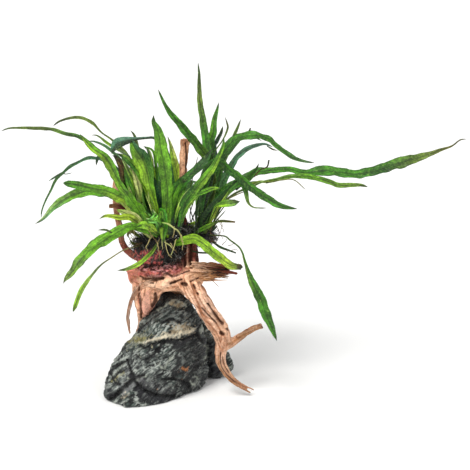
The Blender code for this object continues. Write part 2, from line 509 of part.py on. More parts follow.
# Each leaf runs from its base to its tip: its route as (across, up), then, evenly spaced
# along it, its widths as seen, its depths, and its rolls, which turn the blade about its
# own length away from the viewer, in degrees. A fold is how deep its V is, as a share of
# its half-width. The upper side of a leaf that leans back faces up, not to the viewer.
LEAVES = {
    # left clump, outer leaves
    "leaf_left_01": dict(  # the longest on the left, nearly level
        route=[(-14, 158), (-22, 188), (-45, 215), (-70, 241), (-88, 255), (-106, 260), (-119, 264),
               (-138, 265), (-159, 265), (-169, 262)],
        widths=[2.5, 4, 5, 4.5, 4, 3.6, 3, 1], depths=[5, 14, 26, 42, 55], rolls=[20, -30, -40, -20],
        colour=LEAF_MID),
    "leaf_left_02": dict(  # arch above it
        route=[(-13, 159), (-25, 203), (-40, 233), (-56, 251), (-68, 260), (-78, 270), (-88, 275),
               (-99, 275), (-110, 272), (-117, 267)],
        widths=[3, 5.5, 7, 5, 4, 3.6, 1], depths=[3, 10, 20, 34, 44], rolls=[-20, 30, 40, 20],
        colour=LEAF_MID),
    "leaf_left_03": dict(  # folded leaf in front
        route=[(-18, 157), (-26.5, 170), (-31, 182), (-39.5, 195), (-49, 208), (-54, 217), (-60, 229),
               (-66, 237), (-78, 245), (-90, 259)],
        widths=[8, 13, 14, 12, 9, 7, 9.5, 11.5, 9, 5, 1], depths=[-10, -24, -38, -50, -60],
        rolls=[-15, -30, 20],
        fold=0.35, colour=LEAF_BRIGHT),
    "leaf_left_04": dict(  # blue-green, arches over from behind the central leaf
        route=[(-4, 159), (1, 195), (0, 225), (-5, 245), (-15, 254.5), (-23, 255), (-31, 254.5),
               (-39, 253.5), (-46, 252), (-53, 249), (-57, 243), (-58.5, 239)],
        widths=[3, 5, 6, 6, 6, 5.5, 5, 4.5, 4, 3.2, 2.6, 2.4, 4.5, 8.5, 7.5, 1],
        depths=[0, -4, -10, -18, -30], rolls=[10, 30, 50, 10, 0],
        colour=LEAF_BLUE),
    "leaf_left_05": dict(  # thin and drooping, far left
        route=[(-18, 159), (-38, 205), (-60, 229), (-76, 235), (-87, 233), (-100, 226), (-108, 219),
               (-114, 213), (-119, 203), (-124, 193), (-128, 183), (-129, 175)],
        widths=[2, 3, 3, 2.6, 2.6, 2.4, 2, 1], depths=[6, 4, -6, -20, -32], rolls=[0, 35, 35, 10],
        colour=LEAF_MID),
    "leaf_left_06": dict(  # blue-green droop
        route=[(-20, 157), (-40, 186), (-60, 199), (-78, 202), (-91, 200), (-103, 195), (-117, 185),
               (-127, 174), (-135, 169)],
        widths=[3, 5, 6, 8, 9, 8, 4, 1], depths=[-2, -8, -14, -24, -36], rolls=[0, 30, 25, 10],
        fold=0.2, colour=LEAF_BLUE),
    "leaf_left_07": dict(  # yellow-green with a torn blunt tip
        route=[(-17, 156), (-42, 190), (-52, 197), (-63, 202), (-79, 205), (-93, 208), (-107, 210)],
        widths=[4, 8, 11, 11.5, 9, 7.5, 7.5, 5], depths=[-6, -20, -34, -48, -60],
        rolls=[-10, -35, -20, 5], colour=LEAF_YELLOW),
    "leaf_left_08": dict(
        route=[(-18, 155), (-37, 174), (-51, 175.5), (-64, 177), (-71, 174)],
        widths=[3, 5, 5.5, 4.5, 1], depths=[-10, -22, -34, -42], rolls=[0, 30, 20], colour=LEAF_YELLOW),
    "leaf_left_09": dict(  # long and bright, lower left, in front
        route=[(-12, 157), (-20, 161), (-30, 164), (-39.5, 166.5), (-53, 160), (-67, 152), (-78, 144),
               (-90, 132), (-97, 122), (-104, 114), (-107, 109)],
        widths=[3.5, 5.5, 7, 10.5, 10.5, 10.5, 10, 9, 6.5, 1], depths=[-12, -32, -48, -62, -70],
        rolls=[-10, 25, 35, 15], fold=0.15, colour=LEAF_BRIGHT),
    "leaf_left_10": dict(  # thin stalk and a small drooping blade
        route=[(-22, 149), (-40, 145), (-48, 142), (-59, 135), (-69, 128), (-78, 118), (-88, 104),
               (-97, 81)],
        widths=[1.4, 1.4, 1.8, 3, 4, 4.5, 4.5, 3], depths=[-6, -18, -30, -40, -46], rolls=[0, 20, 10],
        colour=LEAF_BRIGHT),
    "leaf_left_11": dict(  # small, across the front of the stump
        route=[(-11, 152), (-17.5, 141.5), (-23, 136), (-28.5, 131), (-36, 126.5), (-45, 123.5),
               (-53, 122.5)],
        widths=[1.6, 3, 4, 4.2, 3.4, 1], depths=[-14, -30, -40, -44], rolls=[-10, 25, 10],
        colour=LEAF_BRIGHT),
    # left clump, middle leaves
    "leaf_middle_01": dict(  # tall, broad, central
        route=[(-5, 156), (-3, 189), (-3, 202), (-4, 215), (-6, 228), (-9, 243), (-11, 257), (-13, 264),
               (-16.4, 271), (-16.4, 278)],
        widths=[8, 10.5, 11, 12.5, 14, 13, 10, 7.5, 1.5], depths=[-8, -20, -30, -38, -44],
        rolls=[-20, 25, 10], fold=0.15, colour=LEAF_MID),
    "leaf_middle_02": dict(
        route=[(-18, 158), (-29, 192), (-34, 208), (-42, 224), (-49, 237)],
        widths=[4, 6, 6.5, 5, 1], depths=[-2, -8, -16, -22], rolls=[20, -30, 10], colour=LEAF_BRIGHT),
    "leaf_middle_03": dict(
        route=[(-16, 158), (-26, 187), (-30, 202), (-38, 222), (-40, 233)],
        widths=[4, 6, 6.5, 5, 1], depths=[4, 8, 12, 14], rolls=[-25, -20, 15], colour=LEAF_YELLOW),
    "leaf_middle_04": dict(
        route=[(-12, 158), (-17, 194), (-22, 205), (-29, 217), (-37, 231), (-46, 242)],
        widths=[4, 6, 7, 7, 5, 1], depths=[-5, -14, -20, -24], rolls=[20, 30, -10], colour=LEAF_MID),
    "leaf_middle_05": dict(  # folded, two-toned
        route=[(-10, 158), (-12, 184), (-17, 194), (-21, 205), (-24, 214), (-27, 223), (-30.5, 231),
               (-33.5, 240), (-36, 248), (-38, 255), (-40, 263)],
        widths=[2.5, 2.8, 3.4, 6.5, 9, 11.5, 14, 15, 14.5, 8, 1], depths=[-3, -12, -18, -20, -18],
        rolls=[0, -25, -15],
        fold=0.45, colour=LEAF_BRIGHT),
    "leaf_middle_06": dict(
        route=[(-8, 158), (-11, 186), (-14, 200), (-16, 218)],
        widths=[4, 8, 7, 1], depths=[-1, -4, -5], rolls=[25, 10, 25], colour=LEAF_DARK),
    "leaf_middle_07": dict(
        route=[(1, 157), (6, 190), (8, 208), (6, 223), (3.5, 235), (0.5, 248), (-2.5, 257)],
        widths=[4, 6, 8, 9.5, 9, 5, 1], depths=[0, 5, 12, 20], rolls=[-10, 25, 15],
        colour=LEAF_YELLOW),
    "leaf_middle_08": dict(  # broad and dark, behind the bright one
        route=[(-2, 157), (2, 193), (9, 206), (17, 215), (26, 223), (34, 231), (43, 245)],
        widths=[6, 9, 12, 11, 8.5, 8, 1], depths=[-3, -10, -14, -14, -10],
        rolls=[-15, -30, -20],
        colour=LEAF_DARK),
    "leaf_middle_09": dict(  # bright, in front
        route=[(7, 155), (10.5, 171), (12.5, 181), (16, 191), (24, 202), (31, 211), (41, 223), (48, 235),
               (53, 247), (54, 256)],
        widths=[1.5, 4, 7, 9, 10, 10.5, 9, 7, 6, 1], depths=[-9, -22, -32, -36, -36],
        rolls=[15, 30, -10],
        fold=0.15, colour=LEAF_BRIGHT),
    # right clump
    "leaf_right_01": dict(  # the tallest
        route=[(34, 160), (42, 208), (40, 232), (36, 247), (35, 257), (33, 269), (31, 282), (29.5, 295),
               (29, 308), (29, 320), (28, 331)],
        widths=[2.5, 4.5, 6.5, 7.5, 7.5, 6, 4, 1], depths=[8, 8, 12, 20, 30], rolls=[-20, 30, 15],
        fold=0.2, colour=LEAF_MID),
    "leaf_right_02": dict(  # tall, leans to the left
        route=[(32, 160), (42, 203), (39, 228), (35, 239), (30, 245), (24, 253), (17, 261), (10, 269),
               (2, 278), (-4, 287), (-9, 297), (-12, 304)],
        widths=[2.5, 5, 8, 9, 8.5, 7.5, 4.5, 1], depths=[4, -2, -8, -14, -22], rolls=[20, -30, -10],
        fold=0.15, colour=LEAF_MID),
    "leaf_right_03": dict(
        route=[(36, 160), (43, 215), (41, 240), (40, 251), (43, 260), (43.5, 267), (45, 276), (47, 283),
               (49, 291)],
        widths=[2.5, 4, 6, 7.5, 8, 6, 1], depths=[11, 16, 24, 34], rolls=[-30, 20, 0], fold=0.2,
        colour=LEAF_MID),
    "leaf_right_04": dict(
        route=[(37, 160), (47, 210), (44, 244), (47, 252), (51, 260), (53, 267)],
        widths=[2, 4, 5, 5, 1], depths=[12, 20, 28, 34], rolls=[25, 10, -20], colour=LEAF_BLUE),
    "leaf_right_05": dict(  # the big arch
        route=[(33, 160), (36, 195), (40, 218), (46, 227), (54, 240), (63, 252), (76, 257), (88, 257),
               (98, 254), (105, 248), (112, 243), (122, 236), (132, 232), (145, 230)],
        widths=[3, 7, 11, 11.5, 9.5, 8.5, 7, 5, 4, 1], depths=[8, 5, 0, -12, -26, -40],
        rolls=[0, -25, -40, -40, -15], fold=0.15, colour=LEAF_MID),
    "leaf_right_06": dict(
        route=[(38, 160), (48, 212), (58, 243), (65, 259), (71, 274)],
        widths=[2, 4, 4.5, 4, 1], depths=[13, 22, 34, 44], rolls=[20, -20, -20], colour=LEAF_MID),
    "leaf_right_07": dict(
        route=[(37, 160), (50, 205), (61, 227), (67, 236), (75, 243), (83, 247), (94, 249), (103, 246)],
        widths=[2, 5, 6, 6, 5.5, 4, 1], depths=[13, 24, 38, 54], rolls=[10, 35, 30], colour=LEAF_BLUE),
    "leaf_right_08": dict(  # long and dark, hangs to the right
        route=[(27, 160), (26, 180), (30, 195), (32, 214), (40, 228), (50, 231), (58, 224), (67, 218),
               (77, 209), (88, 201), (100, 193), (112, 187), (128, 184)],
        widths=[1.5, 4, 5.5, 7.5, 7.5, 7.5, 7, 6, 1], depths=[1, -12, -24, -42, -62],
        rolls=[10, 30, 35, 15],
        fold=0.15, colour=LEAF_DARK),
    "leaf_right_09": dict(  # the longest of all, out to the right
        route=[(27, 161), (29, 173), (36, 185), (45, 195), (57, 205), (71, 211), (85, 220), (95, 222),
               (107, 223), (120, 223), (136, 220), (152, 222), (168, 221), (184, 219),
               (200, 221), (217, 226), (233, 231), (247, 235), (260, 239), (271, 243), (282, 247),
               (290, 253), (297, 254)],
        widths=[2.5, 6.5, 9.5, 10, 8, 6, 5.5, 9.5, 10.5, 11, 10, 7, 2.6, 2, 1],
        depths=[4, 8, 14, 26, 40], rolls=[0, -20, -40, -25, -25, -10],
        fold=0.12, colour=LEAF_DARK),
    "leaf_right_10": dict(  # long stalk, yellow-green blade below the longest
        route=[(33, 159), (52, 188), (66, 200), (81, 206), (92, 211), (107, 214), (122, 217),
               (142, 216), (160, 211), (168, 208), (182, 208), (191, 208), (198, 206)],
        widths=[1.6, 2, 2.2, 2.2, 2, 3.5, 5, 5, 4.5, 2], depths=[1, -5, -10, -16, -22],
        rolls=[0, 20, 25, 10], colour=LEAF_YELLOW),
    "leaf_right_11": dict(  # curved down
        route=[(35, 159), (50, 188), (63, 205), (72, 209), (76, 201), (78, 191), (83, 186), (90, 185),
               (97, 185)],
        widths=[2, 2.5, 3, 5, 4.5, 3, 1.6, 1], depths=[2, -12, -26, -36], rolls=[0, 20, 10],
        colour=LEAF_MID),
    "leaf_right_12": dict(
        route=[(33, 159), (40, 173), (45, 186), (54, 189), (63, 190), (70, 191.5)],
        widths=[1.4, 1.4, 1.4, 1.6, 5, 7, 6, 1.4], depths=[0, -16, -30, -36], rolls=[0, -25, -10],
        colour=LEAF_BRIGHT),
    "leaf_right_13": dict(  # small, low
        route=[(24, 158), (30, 165), (41, 169), (50, 173)],
        widths=[3, 5, 5, 1], depths=[-9, -26, -40], rolls=[0, 25, 10], colour=LEAF_BRIGHT),
    "leaf_right_14": dict(  # bright, lower right, black tip, across the front of the stick
        route=[(4, 149), (20, 154), (28, 153), (36, 147), (43, 141), (51, 135), (59, 129), (65, 127),
               (71, 126)],
        widths=[4.5, 8, 9, 9, 9, 8.5, 7.5, 2.5], depths=[-12, -32, -46, -58, -66], rolls=[-15, 20, 30],
        fold=0.12, colour=LEAF_YELLOW),
    "leaf_right_15": dict(  # thin stalk, dark blade that droops beside the stump
        route=[(38, 158), (54, 157), (60, 153), (69, 146), (73, 139), (74, 135), (79, 119), (85, 106),
               (91, 94), (95, 82), (101, 68), (107, 52)],
        widths=[1.4, 1.4, 1.6, 2.2, 4.5, 8, 9.8, 9.2, 6.5, 1], depths=[2, -12, -22, -30, -36],
        rolls=[0, 20, 30, 20], fold=0.12, colour=LEAF_DARK),
    "leaf_right_16": dict(
        route=[(34, 159), (38, 198), (37, 228), (34, 238)],
        widths=[2.5, 5, 8, 7, 1.5], depths=[10, 36, 68, 98], rolls=[-20, 20, 20], fold=0.2,
        colour=LEAF_MID, leans_back=True),
    "leaf_right_17": dict(
        route=[(38, 158), (56, 196), (72, 208), (88, 212)],
        widths=[2, 2.4, 7, 6, 1.5], depths=[12, 42, 72, 98], rolls=[20, -20, 10], fold=0.15,
        colour=LEAF_DARK, leans_back=True),
    "leaf_right_18": dict(
        route=[(32, 158), (30, 186), (29, 198), (27, 180)],
        widths=[2.5, 5, 8, 7, 1.5], depths=[11, 44, 82, 114], rolls=[10, 25, -10], fold=0.15,
        colour=LEAF_BRIGHT, leans_back=True),
    # left clump, leaves that lean back
    "leaf_back_01": dict(
        route=[(-18, 158), (-34, 190), (-50, 212), (-62, 222)],
        widths=[4, 8, 10, 8, 1.5], depths=[4, 34, 66, 92], rolls=[20, -20, 10], fold=0.2,
        colour=LEAF_MID, leans_back=True),
    "leaf_back_02": dict(
        route=[(-12, 158), (-22, 208), (-30, 234), (-34, 228)],
        widths=[4, 9, 10, 8, 1.5], depths=[5, 36, 78, 118], rolls=[-20, 10, 30], fold=0.15,
        colour=LEAF_BRIGHT, leans_back=True),
    "leaf_back_03": dict(
        route=[(-7, 158), (-8, 208), (-7, 242), (-7, 256)],
        widths=[4, 10, 11, 8, 1.5], depths=[6, 30, 58, 84], rolls=[20, 20, -20], fold=0.2,
        colour=LEAF_DARK, leans_back=True),
    "leaf_back_04": dict(
        route=[(-3, 158), (2, 196), (5, 220), (4, 206)],
        widths=[4, 8, 9, 8, 1.5], depths=[6, 40, 82, 124], rolls=[-25, 0, 20], fold=0.15,
        colour=LEAF_MID, leans_back=True),
    "leaf_back_05": dict(
        route=[(-16, 155), (-38, 184), (-58, 197), (-78, 202)],
        widths=[4, 7, 8, 7, 1.5], depths=[5, 34, 58, 80], rolls=[10, -20, 0], fold=0.15,
        colour=LEAF_BRIGHT, leans_back=True),
    "leaf_back_06": dict(
        route=[(2, 156), (13, 192), (22, 212), (28, 204)],
        widths=[4, 9, 10, 8, 1.5], depths=[5, 40, 84, 122], rolls=[25, -10, 20], fold=0.15,
        colour=LEAF_DARK, leans_back=True),
}


def leaf_sections(leaf, shift, grown=0.0):
    """The leaf's cross-sections at every FINE_STEP from base to tip, four corners each."""
    flat = even_points([seen(a, u, 0) for a, u in leaf["route"]], FINE_STEP)
    last = len(flat) - 1
    points = [
        seen(*view_place(p), along(leaf["depths"], i / last) + shift) for i, p in enumerate(flat)
    ]
    towards = Vector((0, 0, 1)) if leaf.get("leans_back") else -VIEW_AHEAD
    sections = []
    for i, (point, way) in enumerate(zip(points, directions(points))):
        place = i / last
        roll = math.radians(along(leaf["rolls"], place))
        facing = (Matrix.Rotation(roll, 3, way) @ (towards - way * towards.dot(way))).normalized()
        side = way.cross(facing).normalized()
        half = along(leaf["widths"], place) / 2 / math.cos(roll) + grown
        thick = LEAF_THICKNESS / 2 + grown
        fold = facing * leaf.get("fold", 0.1) * half
        sections.append((
            point + side * half + fold,
            point + facing * thick,
            point - side * half + fold,
            point - facing * thick,
        ))
    return sections


def view_place(point):
    """The (across, up) at which a point is seen."""
    out = point - EYE
    scale = VIEW_DISTANCE / out.dot(VIEW_AHEAD)
    return (
        out.dot(VIEW_RIGHT) * scale + VIEW_CENTRE[0],
        out.dot(VIEW_UP) * scale + VIEW_CENTRE[1],
    )


def strip_faces(sections):
    """Points and faces of the closed strip through the sections."""
    points = [p for section in sections for p in section]
    faces = []
    for i in range(len(sections) - 1):
        for k in range(4):
            a, b = 4 * i + k, 4 * i + (k + 1) % 4
            faces.append((a, b, b + 4, a + 4))
    faces.append((3, 2, 1, 0))
    end = 4 * (len(sections) - 1)
    faces.append((end, end + 1, end + 2, end + 3))
    return points, faces


def outside(tree, point):
    place, normal, _, distance = tree.find_nearest(point)
    return (point - place).dot(normal) > 0 and distance > TOUCH_GAP


def chosen_sections(sections, rhizome):
    """Which sections the solid has: from where the leaf leaves the rhizome to its tip."""
    last = len(sections) - 1
    start = 0
    for i in range(last // 2):
        if not all(outside(rhizome, corner) for corner in sections[i]):
            start = i + 1
    spans = max(LEAF_LEAST_SPANS, round((last - start) * FINE_STEP / LEAF_STEP))
    return [start + round((last - start) * k / spans) for k in range(spans + 1)]


def tree_of(pieces):
    points, faces = [], []
    for piece in pieces:
        first = len(points)
        points += [v.co / MM for v in piece.data.vertices]
        faces += [[first + i for i in face.vertices] for face in piece.data.polygons]
    return BVHTree.FromPolygons(points, faces)


def build_leaves(others, rhizomes):
    """Places each leaf in turn, moved in depth as little as clears all before it."""
    placed = list(others)
    rhizome_trees = {name: tree_of([piece]) for name, piece in rhizomes.items()}
    for name, leaf in LEAVES.items():
        rhizome = rhizome_trees["rhizome_right" if "right" in name else "rhizome_left"]
        taken = tree_of(placed + list(rhizomes.values()))
        for attempt in range(LEAF_TRIES):
            steps = (attempt + 1) // 2
            shift = LEAF_NUDGE * steps * (-1 if attempt % 2 else 1)
            around = leaf_sections(leaf, shift, LEAF_CLEARANCE)
            chosen = chosen_sections(around, rhizome)
            if not BVHTree.FromPolygons(*strip_faces([around[i] for i in chosen])).overlap(taken):
                break
        else:
            raise ValueError(f"{name} found no clear place")
        sections = leaf_sections(leaf, shift)
        points, faces = strip_faces([sections[i] for i in chosen])
        bm = bmesh.new()
        corners = [bm.verts.new(p) for p in points]
        for face in faces:
            bm.faces.new([corners[i] for i in face])
        bmesh.ops.triangulate(bm, faces=bm.faces)
        placed.append(add_piece(name, bm, leaf["colour"], LEAF_ROUGHNESS, LEAF_SHARP))


# ---------------------------------------------------------------- the whole


def main():
    for old in list(bpy.data.objects):
        bpy.data.objects.remove(old)
    stone = build_stone()
    wood = build_wood(stone)
    rhizomes = {}
    for name in RHIZOMES:
        neighbours = [wood["wood_stump"], wood["wood_upright_stick"], wood["wood_left_arm"]]
        neighbours.append(wood["wood_frayed_stub"])
        rhizomes[name] = build_rhizome(name, neighbours + list(rhizomes.values()))
    build_leaves([stone, *wood.values()], rhizomes)


main()
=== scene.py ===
"""The dressed java fern: leaves, driftwood, stone and rhizomes in place of the plain solids.

Everything is in the part's own frame: metres, +Z up, the origin at the centre of the
stone's flat resting face, +X to the viewer's right and +Y away from the viewer. Lengths
are millimetres until a mesh is made.

A route is a list of points (across, up): millimetres as a viewer sees them from
VIEW_DISTANCE, looking down at VIEW_TILT. A third number is the depth along +Y.
"""

import math
import random

import bmesh
import bpy
import numpy as np
from mathutils import Matrix, Vector, noise
from mathutils.bvhtree import BVHTree
from mathutils.kdtree import KDTree


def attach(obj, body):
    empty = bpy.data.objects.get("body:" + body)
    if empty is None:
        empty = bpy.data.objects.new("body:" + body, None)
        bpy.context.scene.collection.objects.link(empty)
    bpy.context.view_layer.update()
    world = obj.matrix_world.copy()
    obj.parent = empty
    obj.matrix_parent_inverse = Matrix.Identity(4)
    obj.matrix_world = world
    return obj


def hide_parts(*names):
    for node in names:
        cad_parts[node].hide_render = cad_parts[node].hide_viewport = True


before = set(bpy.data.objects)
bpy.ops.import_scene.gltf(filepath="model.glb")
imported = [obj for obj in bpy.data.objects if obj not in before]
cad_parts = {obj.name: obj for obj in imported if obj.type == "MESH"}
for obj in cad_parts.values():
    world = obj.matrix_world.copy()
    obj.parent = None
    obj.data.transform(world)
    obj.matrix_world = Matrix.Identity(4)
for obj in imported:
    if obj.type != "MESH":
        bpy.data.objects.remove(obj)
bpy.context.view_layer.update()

MM = 0.001
rng = random.Random(11)

# The viewer, who looks along +Y and down by VIEW_TILT
VIEW_TILT = math.radians(15)
VIEW_DISTANCE = 1300.0
VIEW_CENTRE = (65.0, 158.0)
VIEW_HALF = 235.0  # half of the picture's side at VIEW_DISTANCE
VIEW_RIGHT = Vector((1, 0, 0))
VIEW_UP = Vector((0, math.sin(VIEW_TILT), math.cos(VIEW_TILT)))
VIEW_AHEAD = Vector((0, math.cos(VIEW_TILT), -math.sin(VIEW_TILT)))
EYE = VIEW_CENTRE[0] * VIEW_RIGHT + VIEW_CENTRE[1] * VIEW_UP - VIEW_DISTANCE * VIEW_AHEAD


# ---------------------------------------------------------------- tables and colours


def field(text):
    """One field of a table: points as across,up or across,up,depth; numbers; or else words."""
    if "," in text:
        return [tuple(float(x) for x in point.split(",")) for point in text.split()]
    if text[0] in "-0123456789":
        return [float(x) for x in text.split()]
    return text


def table(text):
    """A table's rows, each a list of fields parted by bars. A line that starts with a space
    goes on with the row above it, and one that starts with # is a comment."""
    lines = text.strip().replace("\n ", " ").splitlines()
    return [[field(part.strip()) for part in line.split("|")] for line in lines if line[0] != "#"]


def linear(red, green, blue):
    """A colour given as 0 to 255, as light."""
    return Vector(
        c / 12.92 if c <= 0.04045 else ((c + 0.055) / 1.055) ** 2.4
        for c in (red / 255, green / 255, blue / 255)
    )


# the darkest green, next, is painted shade where leaves go deep into a clump
# the next two colours are painted shade in the wood's grooves
SHADES = {name: linear(*rgb) for name, rgb in table("""
# leaves and roots
bright | 92 148 26
lime | 126 168 34
yellow | 152 178 46
mid | 54 112 20
dark | 30 76 18
deep | 14 48 16
night | 8 28 16
moss | 40 46 20
teal | 56 104 72
blue | 92 128 112
olive | 92 112 40
grass | 56 130 16
sage | 136 156 100
mint | 122 196 92
jade | 28 98 44
pale | 190 196 120
straw | 176 160 104
brown | 96 62 28
black | 20 19 14
# wood
stump | 248 198 162
tan | 218 174 144
leg | 206 166 142
pink | 238 176 154
bark | 200 120 102
mahogany | 98 38 22
purple | 62 26 34
rose | 208 92 88
blush | 240 164 166
pale_wood | 252 214 184
arm | 172 126 100
frayed | 150 106 66
stick | 214 160 124
branch | 156 122 96
twig | 172 138 112
root | 164 136 120
groove_dark | 62 32 18
groove_warm | 168 104 66
# stone
stone_deep | 8 11 12
stone_dark | 28 34 34
stone_green | 50 68 60
stone_grey | 100 108 103
stone_light | 188 194 186
cream | 238 226 198
lichen | 158 150 92
beige | 176 156 122
grey_face | 112 118 114
lilac_face | 128 128 130
ink | 18 17 26
rust | 196 122 62
pale_edge | 170 176 162
crack | 8 9 11
""")}


def shade_along(words, place):
    """The colour at place, from 0 to 1, along a piece whose shades are words, base to tip."""
    stops = [SHADES[word] for word in words.split()]
    at = min(max(place, 0.0), 1.0) * (len(stops) - 1)
    i = min(int(at), len(stops) - 2)
    return stops[i].lerp(stops[i + 1], at - i)


def mixed(colours, colour, share):
    """The colours, each moved by its share towards one colour."""
    return colours + (np.array(colour) - colours) * share[:, None]


# ---------------------------------------------------------------- curves and places

CURVE_STEPS = 400  # in which a curve's length is measured


def seen(across, up, depth):
    """The point at this depth on the sight line through (across, up)."""
    line = (
        (across - VIEW_CENTRE[0]) * VIEW_RIGHT
        + (up - VIEW_CENTRE[1]) * VIEW_UP
        + VIEW_DISTANCE * VIEW_AHEAD
    )
    return EYE + line * ((depth - EYE.y) / line.y)


def view_place(point):
    """The (across, up) at which a point is seen."""
    out = point - EYE
    scale = VIEW_DISTANCE / out.dot(VIEW_AHEAD)
    return (
        out.dot(VIEW_RIGHT) * scale + VIEW_CENTRE[0],
        out.dot(VIEW_UP) * scale + VIEW_CENTRE[1],
    )


def in_view(points):
    """Where the viewer sees each row of an array of points, as (across, up)."""
    out = points - np.array(EYE)
    scale = VIEW_DISTANCE / (out @ np.array(VIEW_AHEAD))
    across = out @ np.array(VIEW_RIGHT) * scale + VIEW_CENTRE[0]
    up = out @ np.array(VIEW_UP) * scale + VIEW_CENTRE[1]
    return np.column_stack([across, up])


def facing_viewer(points, normals):
    """How squarely each place faces the viewer: 1 in full, below 0 where it faces away."""
    sight = points - np.array(EYE)
    sight /= np.linalg.norm(sight, axis=1)[:, None]
    return -(normals * sight).sum(axis=1)


def spline(points, place):
    """A Catmull-Rom curve through points or numbers, read at place from 0 to 1."""
    spans = len(points) - 1
    at = min(max(place, 0.0), 1.0) * spans
    i = min(int(at), spans - 1)
    t = at - i
    p1, p2 = points[i], points[i + 1]
    p0 = points[i - 1] if i > 0 else p1 + (p1 - p2)
    p3 = points[i + 2] if i + 2 <= spans else p2 + (p2 - p1)
    return (
        p1 * 2
        + (p2 - p0) * t
        + (p0 * 2 - p1 * 5 + p2 * 4 - p3) * t**2
        + (p1 * 3 - p0 - p2 * 3 + p3) * t**3
    ) * 0.5


def even_points(points, step):
    """Points evenly spaced along the curve through points, ends kept."""
    fine = [spline(points, i / CURVE_STEPS) for i in range(CURVE_STEPS + 1)]
    run = [0.0]
    for a, b in zip(fine, fine[1:]):
        run.append(run[-1] + (b - a).length)
    count = max(4, round(run[-1] / step))
    result = []
    i = 0
    for k in range(count + 1):
        target = run[-1] * k / count
        while i < CURVE_STEPS - 1 and run[i + 1] < target:
            i += 1
        share = (target - run[i]) / max(run[i + 1] - run[i], 1e-9)
        result.append(fine[i].lerp(fine[i + 1], min(max(share, 0.0), 1.0)))
    return result


def flat_curve(route, step=3.0):
    """A route of (across, up) as a smooth curve, evenly stepped."""
    return [tuple(p)[:2] for p in even_points([Vector((*p, 0)) for p in route], step)]


def directions(points):
    """The curve's direction at each of its points."""
    last = len(points) - 1
    return [
        (points[min(i + 1, last)] - points[max(i - 1, 0)]).normalized()
        for i in range(len(points))
    ]


def nearest_on(line, points):
    """For each point: its distance to the line, how far along that is, and the nearest
    place; and the line's length."""
    line = np.array(line, dtype=float)
    starts, spans = line[:-1], np.diff(line, axis=0)
    lengths = np.linalg.norm(spans, axis=1)
    runs = np.concatenate([[0], np.cumsum(lengths)])
    best = np.full(len(points), np.inf)
    run = np.zeros(len(points))
    place = np.zeros_like(points)
    for start, span, length, before in zip(starts, spans, lengths, runs):
        share = np.clip((points - start) @ span / length**2, 0, 1)
        at = start + share[:, None] * span
        distance = np.linalg.norm(points - at, axis=1)
        nearer = distance < best
        best = np.where(nearer, distance, best)
        run = np.where(nearer, before + share * length, run)
        place[nearer] = at[nearer]
    return best, run, place, runs[-1]


def cloud(points, size, shift=(0, 0, 0)):
    """Noise at each point, in lumps of size millimetres, from about -0.5 to 0.5."""
    return np.array([noise.noise(Vector(p) / size + Vector(shift)) for p in points])


def random_vector():
    return Vector([rng.uniform(-1, 1) for _ in range(3)])


# ---------------------------------------------------------------- meshes


def linked(name, data):
    thing = bpy.data.objects.new(name, data)
    bpy.context.collection.objects.link(thing)
    return thing


def place_piece(name, mesh, slot, *replaced):
    """A visible piece, which rides on the one body and takes the place of solids."""
    piece = linked(name, mesh)
    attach(piece, "root")
    if replaced:
        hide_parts(*replaced)


def store_shades(mesh, colours):
    attribute = mesh.color_attributes.new("shade", "FLOAT_COLOR", "POINT")
    values = np.ones((len(mesh.vertices), 4), dtype=np.float32)
    values[:, :3] = np.array([tuple(c) for c in colours], dtype=np.float32)
    attribute.data.foreach_set("color", values.ravel())


def place_dressed(name, mesh, points, colours, material, slot, *replaced):
    """The mesh as a piece, with its points moved and its colours set."""
    mesh.vertices.foreach_set("co", (points * MM).ravel())
    store_shades(mesh, colours)
    mesh.shade_smooth()
    mesh.materials.append(material)
    place_piece(name, mesh, slot, *replaced)


class Pile:
    """Points, faces, colours and flat places that become one mesh."""

    def __init__(self):
        self.points, self.faces, self.colours, self.flat = [], [], [], []

    def add(self, points, faces, colours, flat=None):
        first = len(self.points)
        self.points += points
        self.faces += [[first + i for i in face] for face in faces]
        self.colours += colours
        self.flat += flat or [(0.0, 0.0)] * len(points)

    def tube(self, points, radii, colours, sides):
        """Adds a closed tube along points."""
        corners, tints = [], []
        across = None
        for point, way, radius, colour in zip(points, directions(points), radii, colours):
            if across is None:
                across = way.orthogonal().normalized()
            across = (across - way * across.dot(way)).normalized()
            other = way.cross(across)
            for k in range(sides):
                turn = 2 * math.pi * k / sides
                corners.append(point + (across * math.cos(turn) + other * math.sin(turn)) * radius)
                tints.append(colour)
        self.add(corners, tube_faces(len(points), sides), tints)

    def place(self, name, material, slot, *replaced):
        """Makes the piece, in metres, with its colours in the attribute shade."""
        mesh = bpy.data.meshes.new(name)
        mesh.from_pydata([p * MM for p in self.points], [], self.faces)
        store_shades(mesh, self.colours)
        layer = mesh.uv_layers.new(name="along")
        corner = np.empty(len(mesh.loops), dtype=np.int32)
        mesh.loops.foreach_get("vertex_index", corner)
        layer.data.foreach_set("uv", np.array(self.flat, dtype=np.float32)[corner].ravel())
        mesh.shade_smooth()
        mesh.materials.append(material)
        place_piece(name, mesh, slot, *replaced)


def tube_faces(rings, sides, turned=False):
    """The faces of a tube whose rings of corners follow one another. turned has them look
    the other way."""
    faces = []
    for i in range(rings - 1):
        for k in range(sides):
            a, b = i * sides + k, i * sides + (k + 1) % sides
            faces.append((a, a + sides, b + sides, b) if turned else (a, b, b + sides, a + sides))
    ends = [tuple(reversed(range(sides))), tuple(range((rings - 1) * sides, rings * sides))]
    return faces + ([end[::-1] for end in ends] if turned else ends)


def node_shape(name):
    """The node's points and faces, in metres, as one closed surface."""
    bm = bmesh.new()
    bm.from_mesh(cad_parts[name].data)
    bmesh.ops.remove_doubles(bm, verts=bm.verts, dist=0.01 * MM)
    bm.normal_update()
    return bm


def rescale(bm, factor):
    bmesh.ops.scale(bm, vec=(factor, factor, factor), verts=bm.verts)


